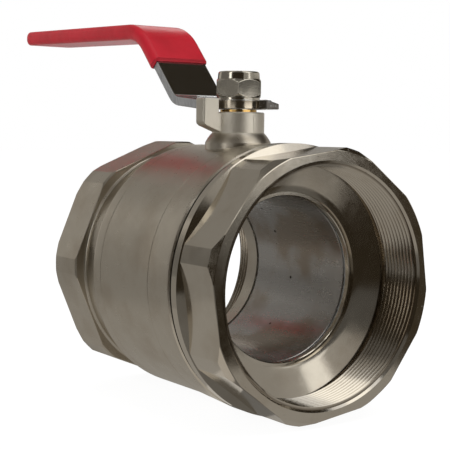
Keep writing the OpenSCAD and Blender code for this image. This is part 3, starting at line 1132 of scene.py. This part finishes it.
    def build(self, finishes: Finishes) -> None:
        """Builds and dresses the pieces that stand still.

        Args:
            finishes: Finishes to dress them with.
        """
        body = self.build_body()
        smooth(body, self.facet)
        finishes.dress(body, FORGED)
        stand_for(body, HOUSING, "nickel_body", "body")
        cap = self.build_cap()
        smooth(cap, self.facet)
        finishes.dress(cap, TURNED)
        stand_for(cap, HOUSING, "nickel_cap", "end_cap")
        for name, port in (("front_thread", self.front), ("rear_thread", self.rear)):
            thread = port.thread(name)
            finishes.dress(thread, THREADED)
            stand_for(thread, HOUSING, "nickel_cap")


def stand_for(piece: bpy.types.Object, body: str, slot: str, *nodes: str) -> None:
    """Rides a piece on a body, in place of solids if any are named, and reports it.

    Args:
        piece: Finished piece.
        body: Body that carries it.
        slot: Name of a material slot; not used.
        nodes: Solids that it replaces.
    """
    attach(piece, body)
    if nodes:
        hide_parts(*nodes)
    log.info("%s: %d faces on %s", piece.name, len(piece.data.polygons), body)


@dataclass
class Station:
    """Place on the lever's path and the direction there."""

    x: float
    z: float
    angle: float

    def ahead(self, length: float) -> Station:
        """Returns the station a straight way farther on."""
        a = math.radians(self.angle)
        return Station(self.x - math.cos(a) * length, self.z + math.sin(a) * length, self.angle)

    def beside(self, up: float) -> Vector:
        """Returns the point that far above the path."""
        a = math.radians(self.angle)
        return Vector((self.x + math.sin(a) * up, 0.0, self.z + math.cos(a) * up))

    def around(self, radius: float, turn: float) -> Station:
        """Follows a bend.

        Args:
            radius: Radius of the bend.
            turn: Angle of the bend in degrees, upwards if it is positive.

        Returns:
            The station at its end.
        """
        up = math.copysign(radius, turn)
        centre = self.beside(up)
        end = Station(centre.x, centre.z, self.angle + turn)
        rim = end.beside(-up)
        return Station(rim.x, rim.z, end.angle)


@dataclass
class Lever:
    """Cranked lever with its dipped sleeve and lock nut, in millimetres."""

    thickness: float = 4.7
    width: float = 30.5
    bottom: float = 81.0
    eye: float = 11.8
    set_x: float = 11.3264
    flat_set: float = 5.5
    shoulder_round: float = 1.0
    flat_length: float = 37.0
    rise: float = 37.8
    slope: float = 46.0
    grip_tilt: float = 1.9
    grip_length: float = 146.0
    set_bend: float = 12.0
    first_bend: float = 12.0
    second_bend: float = 28.0
    shoulder_x: float = 4.15
    tab_start: float = 3.85
    tab_reach: float = 18.2
    tab_width: float = 7.9
    tab_drop: float = 2.2
    sleeve_wall: float = 1.85
    bare: float = 26.5
    sleeve_edge: float = 3.8
    sleeve_lip: float = 1.0
    sleeve_rim: float = 0.4
    tip_corner: float = 9.0
    end_nearness: float = 0.2
    eye_steps: int = 24
    heel_steps: int = 6
    tab_cut_start: float = 0.3
    tab_cut_in: float = 0.6
    tip_depth: float = 1.0
    tip_step: int = 10
    tip_blunt: float = 0.999
    flats_reach: float = 20.0
    plate_edge: float = 0.5
    lip_edge: float = 0.3
    lip_angle: float = 60.0
    nut_edge: float = 0.18
    nut_angle: float = 25.0
    stem: float = 7.0
    stem_flats: float = 10.2
    nut_across: float = 22.0
    nut_height: float = 13.1
    nut_collar: float = 3.9
    nut_turn: float = -4.8
    nut_bottom: float = 86.7
    nut_face_in: float = 0.25
    nut_collar_in: float = 0.4
    nut_collar_taper: float = 0.3
    nut_collar_round: float = 1.1
    nut_collar_sink: float = 0.2
    nut_lead: float = 0.6
    nut_top_bore: float = 7.5
    nut_top_flare: float = 8.0
    nut_top_lead: float = 0.4
    nut_top_past: float = 0.1
    insert_radius: float = 8.35
    insert_low: float = 0.3
    insert_high: float = 2.55
    sleeve_play: float = 0.1
    room_edge: float = 0.2
    tip_fill: float = 3.0
    arc_steps: int = 10

    def bend(self, start: Station, radius: float, turn: float) -> list[Station]:
        """Returns the stations through a bend, both ends with it."""
        return [start.around(radius, turn * i / self.arc_steps) if i else start
                for i in range(self.arc_steps + 1)]

    def slope_start(self) -> Station:
        """Finds the corner between the flat and the slope.

        Returns:
            The corner, facing up the slope.
        """
        flat = Station(-self.set_x, self.bottom + self.thickness / 2, self.flat_set)
        length = (self.flat_length - self.set_x) / math.cos(math.radians(self.flat_set))
        corner = flat.ahead(length)
        return Station(corner.x, corner.z, self.slope)

    def grip_stations(self, tip: float) -> list[Station]:
        """Follows the path from the second bend to the tip.

        Args:
            tip: Distance of the tip from the bend's corner.

        Returns:
            The stations on the way.
        """
        turn = self.slope - self.grip_tilt
        cut = self.second_bend * math.tan(math.radians(turn / 2))
        top = self.slope_start().ahead(self.rise / math.sin(math.radians(self.slope)) - cut)
        arc = self.bend(top, self.second_bend, -turn)
        return [*arc, arc[-1].ahead(tip - cut)]

    def plate_stations(self) -> list[Station]:
        """Follows the plate from the start of the set to the tip.

        Returns:
            The stations on the way.
        """
        cut = self.set_bend * math.tan(math.radians(self.flat_set / 2))
        start = Station(0.0, self.bottom + self.thickness / 2, 0.0)
        first = self.bend(start.ahead(self.set_x - cut), self.set_bend, self.flat_set)
        turn = self.slope - self.flat_set
        back = self.first_bend * math.tan(math.radians(turn / 2))
        length = (self.flat_length - self.set_x) / math.cos(math.radians(self.flat_set)) - cut - back
        second = self.bend(first[-1].ahead(length), self.first_bend, turn)
        return [*first, *second, *self.grip_stations(self.grip_length - self.sleeve_wall)]

    def eye_outline(self, back: float) -> list[Vector]:
        """Draws the plan of the flat end with its eye, shoulders and stop tab.

        Args:
            back: Place of its back end along the flow.

        Returns:
            The outline, from the back round.
        """
        half = self.width / 2
        edge = self.shoulder_round
        tab_end = self.tab_start + self.tab_width
        first = math.atan2(-math.sqrt(self.eye ** 2 - self.shoulder_x ** 2), -self.shoulder_x)
        tab = math.asin(self.tab_start / self.eye)
        last = -first
        steps, heel = self.eye_steps, self.heel_steps
        front = [first + (tab - first) * i / steps for i in range(steps + 1)]
        rear = [math.pi / 2 + (last - math.pi / 2) * i / heel for i in range(heel + 1)]
        shoulder = [(math.sin(math.radians(a)), math.cos(math.radians(a))) for a in range(0, 91, 18)]
        plan = [
            (back, -half),
            *[(-self.shoulder_x - edge + edge * x, -half + edge - edge * y) for x, y in shoulder],
            *[(self.eye * math.cos(a), self.eye * math.sin(a)) for a in front],
            (self.tab_reach, self.tab_start),
            (self.tab_reach, tab_end),
            (0.0, tab_end),
            *[(self.eye * math.cos(a), self.eye * math.sin(a)) for a in rear],
            *[(-self.shoulder_x - edge + edge * x, half - edge + edge * y)
              for x, y in reversed(shoulder)],
            (back, half),
        ]
        return [Vector((x, y, self.bottom)) for x, y in plan]

    def select_end(self, piece: bpy.types.Object, station: Station) -> None:
        """Enters edit mode and selects the face that stands across the path at a station.

        Args:
            piece: Object to select on.
            station: Station of the face.
        """
        pick(piece)
        bpy.ops.object.mode_set(mode="EDIT")
        bpy.ops.mesh.select_mode(type="FACE")
        bpy.ops.mesh.select_all(action="DESELECT")
        mesh = bmesh.from_edit_mesh(piece.data)
        place = station.beside(0.0)
        for face in mesh.faces:
            face.select = (face.calc_center_median() / MM - place).length < self.end_nearness
        bmesh.update_edit_mesh(piece.data)

    def build_plate(self) -> bpy.types.Object:
        """Builds the steel plate: the flat end is drawn in plan, then its end face is led along the path.

        Returns:
            The plate with its stem hole and the cut corner of its tab.
        """
        top = self.bottom + self.thickness
        stations = self.plate_stations()
        piece = slab("lever_plate", self.eye_outline(stations[0].x), Vector((0.0, 0.0, self.thickness)))
        self.select_end(piece, stations[0])
        sweep(stations[0], stations[1:], [(1.0, 1.0)] * (len(stations) - 1))
        bpy.ops.object.mode_set(mode="OBJECT")
        tip = stations[-1]
        mark(piece, lambda p: abs(p.y) > self.width / 2 - NEAR and p.x < tip.x + self.tip_depth)
        round_marked(self.tip_corner - self.sleeve_wall, ROUND_STEPS)
        hole = turned("hole", [
            (self.bottom - PAST, 0.0),
            (self.bottom - PAST, self.stem),
            (top + PAST, self.stem),
            (top + PAST, 0.0),
        ], Axis.STEM, HOLE_STEPS)
        half, reach = self.stem_flats / 2, self.flats_reach
        corners = ((-half, -reach), (half, -reach), (half, reach), (-half, reach))
        flats = slab("flats", [Vector((x, y, self.bottom - 2 * PAST)) for x, y in corners],
                     Vector((0.0, 0.0, self.thickness + 4 * PAST)))
        combine(hole, flats, Cut.KEEP_COMMON)
        combine(piece, hole, Cut.TAKE_OFF)
        tab_end = self.tab_start + self.tab_width
        drop = slab("drop", [Vector((self.eye + self.tab_cut_start, y, z)) for y, z in (
            (self.tab_start + self.tab_cut_in, top),
            (tab_end + PAST, top + PAST),
            (tab_end + PAST, top - self.tab_drop),
        )], Vector((self.tab_reach, 0.0, 0.0)))
        return combine(piece, drop, Cut.TAKE_OFF)

    def section(self, station: Station, width: float, thickness: float, edge: float) -> list[Vector]:
        """Draws a rounded rectangle across the path.

        Args:
            station: Station of its middle.
            width: Its width.
            thickness: Its thickness.
            edge: Radius of its corners.

        Returns:
            The outline.
        """
        points = []
        for side, up, start in ((1, 1, 0), (-1, 1, 90), (-1, -1, 180), (1, -1, 270)):
            for a in range(start, start + 91, 15):
                y = side * (width / 2 - edge) + edge * math.cos(math.radians(a))
                rise = up * (thickness / 2 - edge) + edge * math.sin(math.radians(a))
                points.append(station.beside(rise) + Vector((0.0, y, 0.0)))
        return points

    def build_sleeve(self) -> bpy.types.Object:
        """Builds the dipped sleeve: its section is led along the path and drawn in to a round tip.

        Returns:
            The sleeve, hollowed for the plate.
        """
        width = self.width + 2 * self.sleeve_wall
        thickness = self.thickness + 2 * self.sleeve_wall
        start = self.slope_start().ahead(self.bare)
        grip = self.grip_stations(self.grip_length - self.tip_corner)
        near = grip[-1]
        path = [*grip]
        sizes = [(1.0, 1.0)] * len(grip)
        for a in range(self.tip_step, 91, self.tip_step):
            out = self.tip_corner * math.sin(math.radians(a))
            drawn = self.tip_corner * (1 - math.cos(math.radians(a)))
            thin = max(0.0, out - self.tip_corner + self.sleeve_edge) / self.sleeve_edge
            flat = self.sleeve_edge * (1 - math.sqrt(1 - min(thin, self.tip_blunt) ** 2))
            path.append(near.ahead(out))
            sizes.append((1 - 2 * drawn / width, 1 - 2 * flat / thickness))
        lip = 2 * self.sleeve_lip
        first = start.ahead(self.sleeve_rim)
        thin = self.section(start, width - lip, thickness - lip, self.sleeve_edge - self.sleeve_lip)
        piece = slab("dipped_sleeve", thin, first.beside(0.0) - start.beside(0.0))
        self.select_end(piece, first)
        wide, thick = width / (width - lip), thickness / (thickness - lip)
        full = [(wide * w, thick * t) for w, t in sizes]
        sweep(first, [first.ahead(self.sleeve_lip), *path], [(wide, thick), *full])
        bpy.ops.object.mode_set(mode="OBJECT")
        inner = self.grip_stations(self.grip_length - self.sleeve_wall - self.tip_fill)
        behind = start.ahead(-2 * PAST)
        play = self.sleeve_play
        hollow = self.section(behind, self.width + play, self.thickness + play, self.room_edge)
        room = slab("room", hollow, start.beside(0.0) - behind.beside(0.0))
        self.select_end(room, start)
        sweep(start, inner, [(1.0, 1.0)] * len(inner))
        bpy.ops.object.mode_set(mode="OBJECT")
        return combine(piece, room, Cut.TAKE_OFF)

    def build_nut(self) -> bpy.types.Object:
        """Builds the lock nut with its chamfered hexagon and collar.

        Returns:
            The nut with its bore and the room for its insert.
        """
        low = self.nut_bottom
        hexagon = low + self.nut_height - self.nut_collar
        top = low + self.nut_height
        flat = self.nut_across / 2
        corner = flat / math.cos(math.pi / 6)
        rim = flat - self.nut_face_in
        cone = corner + PAST - rim
        piece = prism("lock_nut", 6, self.nut_across, low, hexagon, Axis.STEM, self.nut_turn)
        combine(piece, turned("chamfer", [
            (low, 0.0),
            (low, rim),
            (low + cone, corner + PAST),
            (hexagon - cone, corner + PAST),
            (hexagon, rim),
            (hexagon, 0.0),
        ], Axis.STEM, SMALL_STEPS), Cut.KEEP_COMMON)
        collar = flat - self.nut_collar_in
        foot = hexagon - self.nut_collar_sink
        bend = self.nut_collar_round
        narrow = collar - self.nut_collar_taper
        edge = [(top - bend * (1 - math.sin(a)), narrow - bend * (1 - math.cos(a))) for a in QUARTER]
        combine(piece, turned("collar", [
            (foot, 0.0),
            (foot, collar),
            *edge,
            (top, 0.0),
        ], Axis.STEM, SMALL_STEPS), Cut.JOIN)
        return combine(piece, turned("nut_bore", [
            (low - PAST, 0.0),
            (low - PAST, self.stem + self.nut_lead),
            (low + self.nut_lead, self.stem),
            (hexagon, self.stem),
            (hexagon, self.nut_top_bore),
            (hexagon + self.insert_low, self.nut_top_bore),
            (hexagon + self.insert_low, self.insert_radius),
            (hexagon + self.insert_high, self.insert_radius),
            (hexagon + self.insert_high, self.nut_top_bore),
            (top - self.nut_top_lead, self.nut_top_bore),
            (top + self.nut_top_past, self.nut_top_flare),
            (top + PAST, self.nut_top_flare),
            (top + PAST, 0.0),
        ], Axis.STEM, HOLE_STEPS), Cut.TAKE_OFF)

    def build(self, finishes: Finishes) -> None:
        """Builds and dresses the pieces that turn with the stem, outside the housing.

        Args:
            finishes: Finishes to dress them with.
        """
        plate = self.build_plate()
        ease(plate, self.plate_edge, 3)
        finishes.dress(plate, ZINC)
        stand_for(plate, ROTOR, "lever_zinc", "lever")
        sleeve = self.build_sleeve()
        ease(sleeve, self.lip_edge, 2, self.lip_angle)
        finishes.dress(sleeve, VINYL)
        stand_for(sleeve, ROTOR, "sleeve_red", "lever_sleeve")
        nut = self.build_nut()
        ease(nut, self.nut_edge, 2, self.nut_angle)
        finishes.dress(nut, BRIGHT)
        stand_for(nut, ROTOR, "nut_nickel", "lever_nut")


class InnerPieces:
    """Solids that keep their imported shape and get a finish."""

    FINISH = {
        "ball": CHROME,
        "front_seat": FLUOROPLASTIC,
        "rear_seat": FLUOROPLASTIC,
        "joint_seal": FLUOROPLASTIC,
        "stem": BRIGHT,
        "thrust_washer": FLUOROPLASTIC,
        "lower_oring": RUBBER,
        "upper_oring": RUBBER,
        "lower_packing": FLUOROPLASTIC,
        "upper_packing": FLUOROPLASTIC,
        "gland": BRASS,
        "lever_washer": BRIGHT,
        "nut_insert": NYLON,
    }

    def dress(self, nodes: dict[str, bpy.types.Object], finishes: Finishes) -> None:
        """Dresses each solid and reports it.

        Args:
            nodes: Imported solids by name.
            finishes: Finishes to dress them with.
        """
        for name, finish in self.FINISH.items():
            finishes.dress(nodes[name], finish)
            log.info("%s: %s", name, finish.name)


class Tone(Enum):
    """Tints of the cards round the object."""

    PALE = (1.0, 0.98, 0.93)
    WARM = (1.0, 0.95, 0.87)
    BROWN = (1.0, 0.78, 0.5)


@dataclass(frozen=True)
class Card:
    """Curved card that stands round the object.

    Directions are in degrees from -Y towards +X, low and high are elevations in degrees of its two
    edges, level is its brightness and reach its distance in metres.
    """

    name: str
    first: float
    last: float
    low: float
    high: float
    level: float
    tone: Tone = Tone.WARM
    reach: float = 2.4


@dataclass(frozen=True)
class Cloth:
    """Ring-shaped cloth that lies on the floor or hangs above it, in metres."""

    name: str
    first: float
    last: float
    near: float
    far: float
    level: float
    tone: Tone = Tone.WARM
    lift: float = 0.0005


CARDS = (
    Card("grey_card", 262, 300, -3, 25, 0.48),
    Card("high_grey_card", 262, 300, 25, 52, 0.28),
    Card("overhead_card", 222, 303, 52, 76, 0.15, Tone.BROWN),
    Card("left_card", 300, 361, -3, 48, 0.16),
    Card("high_left_card", 303, 375, 48, 74, 0.4),
    Card("strip_card", 1, 14, -1, 38, 1.8, Tone.PALE),
    Card("front_card", 14, 86, -3, 28, 0.03, Tone.BROWN),
    Card("high_front_card", 14, 80, 28, 60, 0.12),
    Card("ceiling_card", 14, 96, 60, 83, 0.24),
    Card("shoulder_card", 80, 98, 9, 45, 0.34),
    Card("window_card", 98, 134, 9, 31, 0.38),
    Card("pane_card", 110, 121, 12, 31, 1.2, Tone.PALE, 2.3),
    Card("sky_card", 96, 134, 31, 76, 1.5, Tone.PALE),
    Card("bar_card", 86, 121, -8, 12, 0.09, Tone.WARM, 1.9),
    Card("post_card", 119, 127, -3, 11, 0.7, Tone.PALE, 2.2),
    Card("skirt_card", 128, 152, -3, 2.5, 0.04, Tone.BROWN),
    Card("low_card", 128, 152, 2.5, 36, 0.34),
    Card("side_card", 152, 222, -3, 24, 0.44),
    Card("far_card", 152, 222, 24, 86, 0.03, Tone.BROWN),
    Card("back_card", 222, 262, -3, 52, 0.29),
    Card("left_neck_card", 8, 40, 34, 40, 1.0, Tone.PALE, 0.1),
    Card("neck_card", 84, 112, 28.8, 36.3, 2.0, Tone.PALE, 0.12),
    Card("lug_card", 112, 132, 30, 36, 2.4, Tone.PALE, 0.12),
)
CLOTHS = (
    # The first five cloths lie under and round the valve and are painted shade of the floor there, seen
    # only in reflections
    Cloth("left_floor_shade", -70, 22, 0.0, 0.2, 0.35),
    Cloth("pale_left_floor_shade", 22, 50, 0.0, 0.2, 0.55),
    Cloth("front_floor_shade", 50, 70, 0.0, 0.2, 0.16),
    Cloth("right_floor_shade", 70, 128, 0.0, 0.21, 0.36),
    Cloth("back_floor_shade", 128, 290, 0.0, 0.2, 0.18),
    Cloth("left_front_cloth", -20, 75, 0.2, 0.45, 0.15),
    Cloth("far_front_cloth", -20, 75, 0.45, 2.4, 0.03, Tone.BROWN),
    Cloth("front_cloth", 75, 118, 0.21, 2.4, 0.03, Tone.BROWN),
    Cloth("gap_cloth", 118, 129, 0.2, 2.4, 0.15),
    Cloth("right_cloth", 129, 200, 0.2, 2.4, 0.05, Tone.BROWN),
    Cloth("left_cloth", -110, -20, 0.2, 2.3, 0.28),
    Cloth("canopy_cloth", 0, 360, 0.0, 0.6, 0.15, Tone.WARM, 3.0),
)


@dataclass(frozen=True)
class Lamp:
    """Square soft lamp that points at the valve, in metres and watts."""

    name: str
    place: tuple[float, float, float]
    size: float
    power: float
    mirrored: bool = False


LAMPS = (
    Lamp("key_lamp", (0.55, 0.45, 1.45), 0.9, 9.0),
    Lamp("side_lamp", (-0.2, -1.6, 0.9), 0.5, 7.0),
    Lamp("top_lamp", (-0.3, 0.0, 1.8), 1.0, 8.0),
    Lamp("back_lamp", (-1.33, 0.965, 1.107), 0.5, 1.2, True),
)


@dataclass
class Studio:
    """Camera, floor, lamps and cards, in metres."""

    focal: float = 91.72
    sensor: float = 36.0
    yaw: float = 55.556
    pitch: float = 4.503
    roll: float = 0.708
    camera_place: tuple[float, float, float] = (0.47122, -0.330449, 0.068406)
    floor_z: float = -0.065
    floor_size: float = 14.0
    floor_tint: float = 0.86
    floor_glow: float = 1.1
    floor_seen: float = 0.86
    floor_mirrored: float = 0.25
    even_light: float = 0.5
    lamp_tint: Colour = (1.0, 0.99, 0.97)
    card_step: float = 8.0
    cloth_steps: int = 24

    def add_camera(self) -> None:
        """Sets the camera where the photograph was taken from."""
        data = bpy.data.cameras.new("camera")
        data.lens = self.focal
        data.sensor_width = self.sensor
        data.clip_start = 0.01
        camera = bpy.data.objects.new("camera", data)
        bpy.context.scene.collection.objects.link(camera)
        a, e = math.radians(self.yaw), math.radians(self.pitch)
        back = Vector((math.sin(a) * math.cos(e), -math.cos(a) * math.cos(e), math.sin(e)))
        right = Vector((math.cos(a), math.sin(a), 0.0))
        up = right.cross(-back)
        c, s = math.cos(math.radians(self.roll)), math.sin(math.radians(self.roll))
        side, top = right * c + up * s, up * c - right * s
        camera.matrix_world = Matrix.Translation(self.camera_place) @ Matrix(
            (side, top, back)).transposed().to_4x4()
        bpy.context.scene.camera = camera

    def rays(self, sheet: Sheet, *kinds: str) -> list[Level]:
        """Returns, for each kind of ray, a value that is 1 for such rays and 0 for others."""
        outputs = sheet.node("ShaderNodeLightPath").socket.node.outputs
        return [Level(sheet, outputs[kind]) for kind in kinds]

    def add_world(self) -> None:
        """Makes the surroundings white where they are seen, and a soft even light elsewhere."""
        world = bpy.data.worlds.new("studio")
        bpy.context.scene.world = world
        sheet = Sheet(world)
        camera, glossy, through = self.rays(sheet, "Is Camera Ray", "Is Glossy Ray", "Is Transmission Ray")
        shown = (camera + glossy + through).over(0.0, 0.5)
        strength = shown * (1.0 - self.even_light) + self.even_light
        white = (1.0, 1.0, 1.0, 1.0)
        light = sheet.node("ShaderNodeBackground", None, {"Color": white, "Strength": strength})
        sheet.node("ShaderNodeOutputWorld", None, {"Surface": light})

    def add_floor(self) -> None:
        """Lays the pale floor that the valve stands on."""
        deselect()
        bpy.ops.mesh.primitive_plane_add(size=self.floor_size, location=(0, 0, self.floor_z))
        floor = named("floor")
        sheet = new_sheet("pale_floor")
        tint = self.floor_tint
        matt = sheet.node("ShaderNodeBsdfDiffuse", None, {"Color": (tint, tint, tint, 1.0)})
        glow = {"Color": (1.0, 1.0, 1.0, 1.0), "Strength": self.floor_glow}
        white = sheet.node("ShaderNodeEmission", None, glow)
        camera, glossy = self.rays(sheet, "Is Camera Ray", "Is Glossy Ray")
        shown = camera * self.floor_seen + glossy * self.floor_mirrored
        sheet.show(sheet.node("ShaderNodeMixShader", None, {0: shown, 1: matt, 2: white}))
        floor.data.materials.append(sheet.owner)

    def add_card(self, card: Card) -> None:
        """Stands a curved card round the object, out of the camera's sight.

        Args:
            card: Card to stand up.
        """
        steps = max(2, round((card.last - card.first) / self.card_step))
        low, high = (math.tan(math.radians(angle)) * card.reach for angle in (card.low, card.high))
        points = []
        for step in range(steps + 1):
            turn = math.radians(card.first + (card.last - card.first) * step / steps)
            points.append(Vector((math.sin(turn) * card.reach, -math.cos(turn) * card.reach, low)) / MM)
        piece = chain(card.name, points)
        bpy.ops.mesh.extrude_region_move(TRANSFORM_OT_translate={"value": (0, 0, high - low)})
        bpy.ops.object.mode_set(mode="OBJECT")
        self.dress_card(piece, card.level, card.tone)

    def add_cloth(self, cloth: Cloth) -> None:
        """Spreads a ring-shaped cloth level, out of the camera's sight.

        Args:
            cloth: Cloth to spread.
        """
        start = math.radians(cloth.first)
        way = Vector((math.sin(start), -math.cos(start), 0.0))
        lift = Vector((0.0, 0.0, self.floor_z + cloth.lift))
        piece = chain(cloth.name, [(way * cloth.near + lift) / MM, (way * cloth.far + lift) / MM])
        spread = math.radians(cloth.last - cloth.first)
        bpy.ops.mesh.spin(steps=self.cloth_steps, angle=spread, center=(0, 0, 0), axis=(0, 0, -1))
        bpy.ops.object.mode_set(mode="OBJECT")
        self.dress_card(piece, cloth.level, cloth.tone)

    def dress_card(self, card: bpy.types.Object, level: float, tone: Tone) -> None:
        """Gives a card or cloth its even colour and lets only reflections show it.

        Args:
            card: Object to dress.
            level: Its brightness.
            tone: Its tint.
        """
        sheet = new_sheet(card.name)
        glow = {"Color": (*tone.value, 1.0), "Strength": level}
        sheet.show(sheet.node("ShaderNodeEmission", None, glow))
        card.data.materials.append(sheet.owner)
        card.visible_camera = False
        card.visible_diffuse = False
        card.visible_shadow = False
        card.visible_transmission = False

    def add_lamp(self, lamp: Lamp) -> None:
        """Hangs a lamp.

        Args:
            lamp: Lamp to hang; shiny surfaces show it only if it is mirrored.
        """
        data = bpy.data.lights.new(lamp.name, "AREA")
        data.size = lamp.size
        data.energy = lamp.power
        data.color = self.lamp_tint
        hung = bpy.data.objects.new(lamp.name, data)
        bpy.context.scene.collection.objects.link(hung)
        hung.location = lamp.place
        hung.rotation_mode = "QUATERNION"
        hung.rotation_quaternion = Vector(lamp.place).to_track_quat("Z", "Y")
        hung.visible_glossy = lamp.mirrored

    def build(self) -> None:
        """Sets up the whole studio."""
        self.add_camera()
        self.add_world()
        self.add_floor()
        for lamp in LAMPS:
            self.add_lamp(lamp)
        for card in CARDS:
            self.add_card(card)
        for cloth in CLOTHS:
            self.add_cloth(cloth)


def main() -> None:
    """Builds the valve's pieces in order and sets up the studio."""
    logging.basicConfig(level=logging.INFO, format="%(name)s %(message)s")
    bpy.ops.object.select_all(action="SELECT")
    bpy.ops.object.delete()
    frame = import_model()
    bpy.context.scene.view_settings.view_transform = "Standard"
    finishes = Finishes()
    Studio().build()
    housing = Housing(Octagon(), Port(lip=39.9767, mouth=71.9767), Port(lip=-45.9767, mouth=-76.4767))
    housing.build(finishes)
    Lever().build(finishes)
    InnerPieces().dress(frame["nodes"], finishes)


if __name__ == "__main__":
    main()
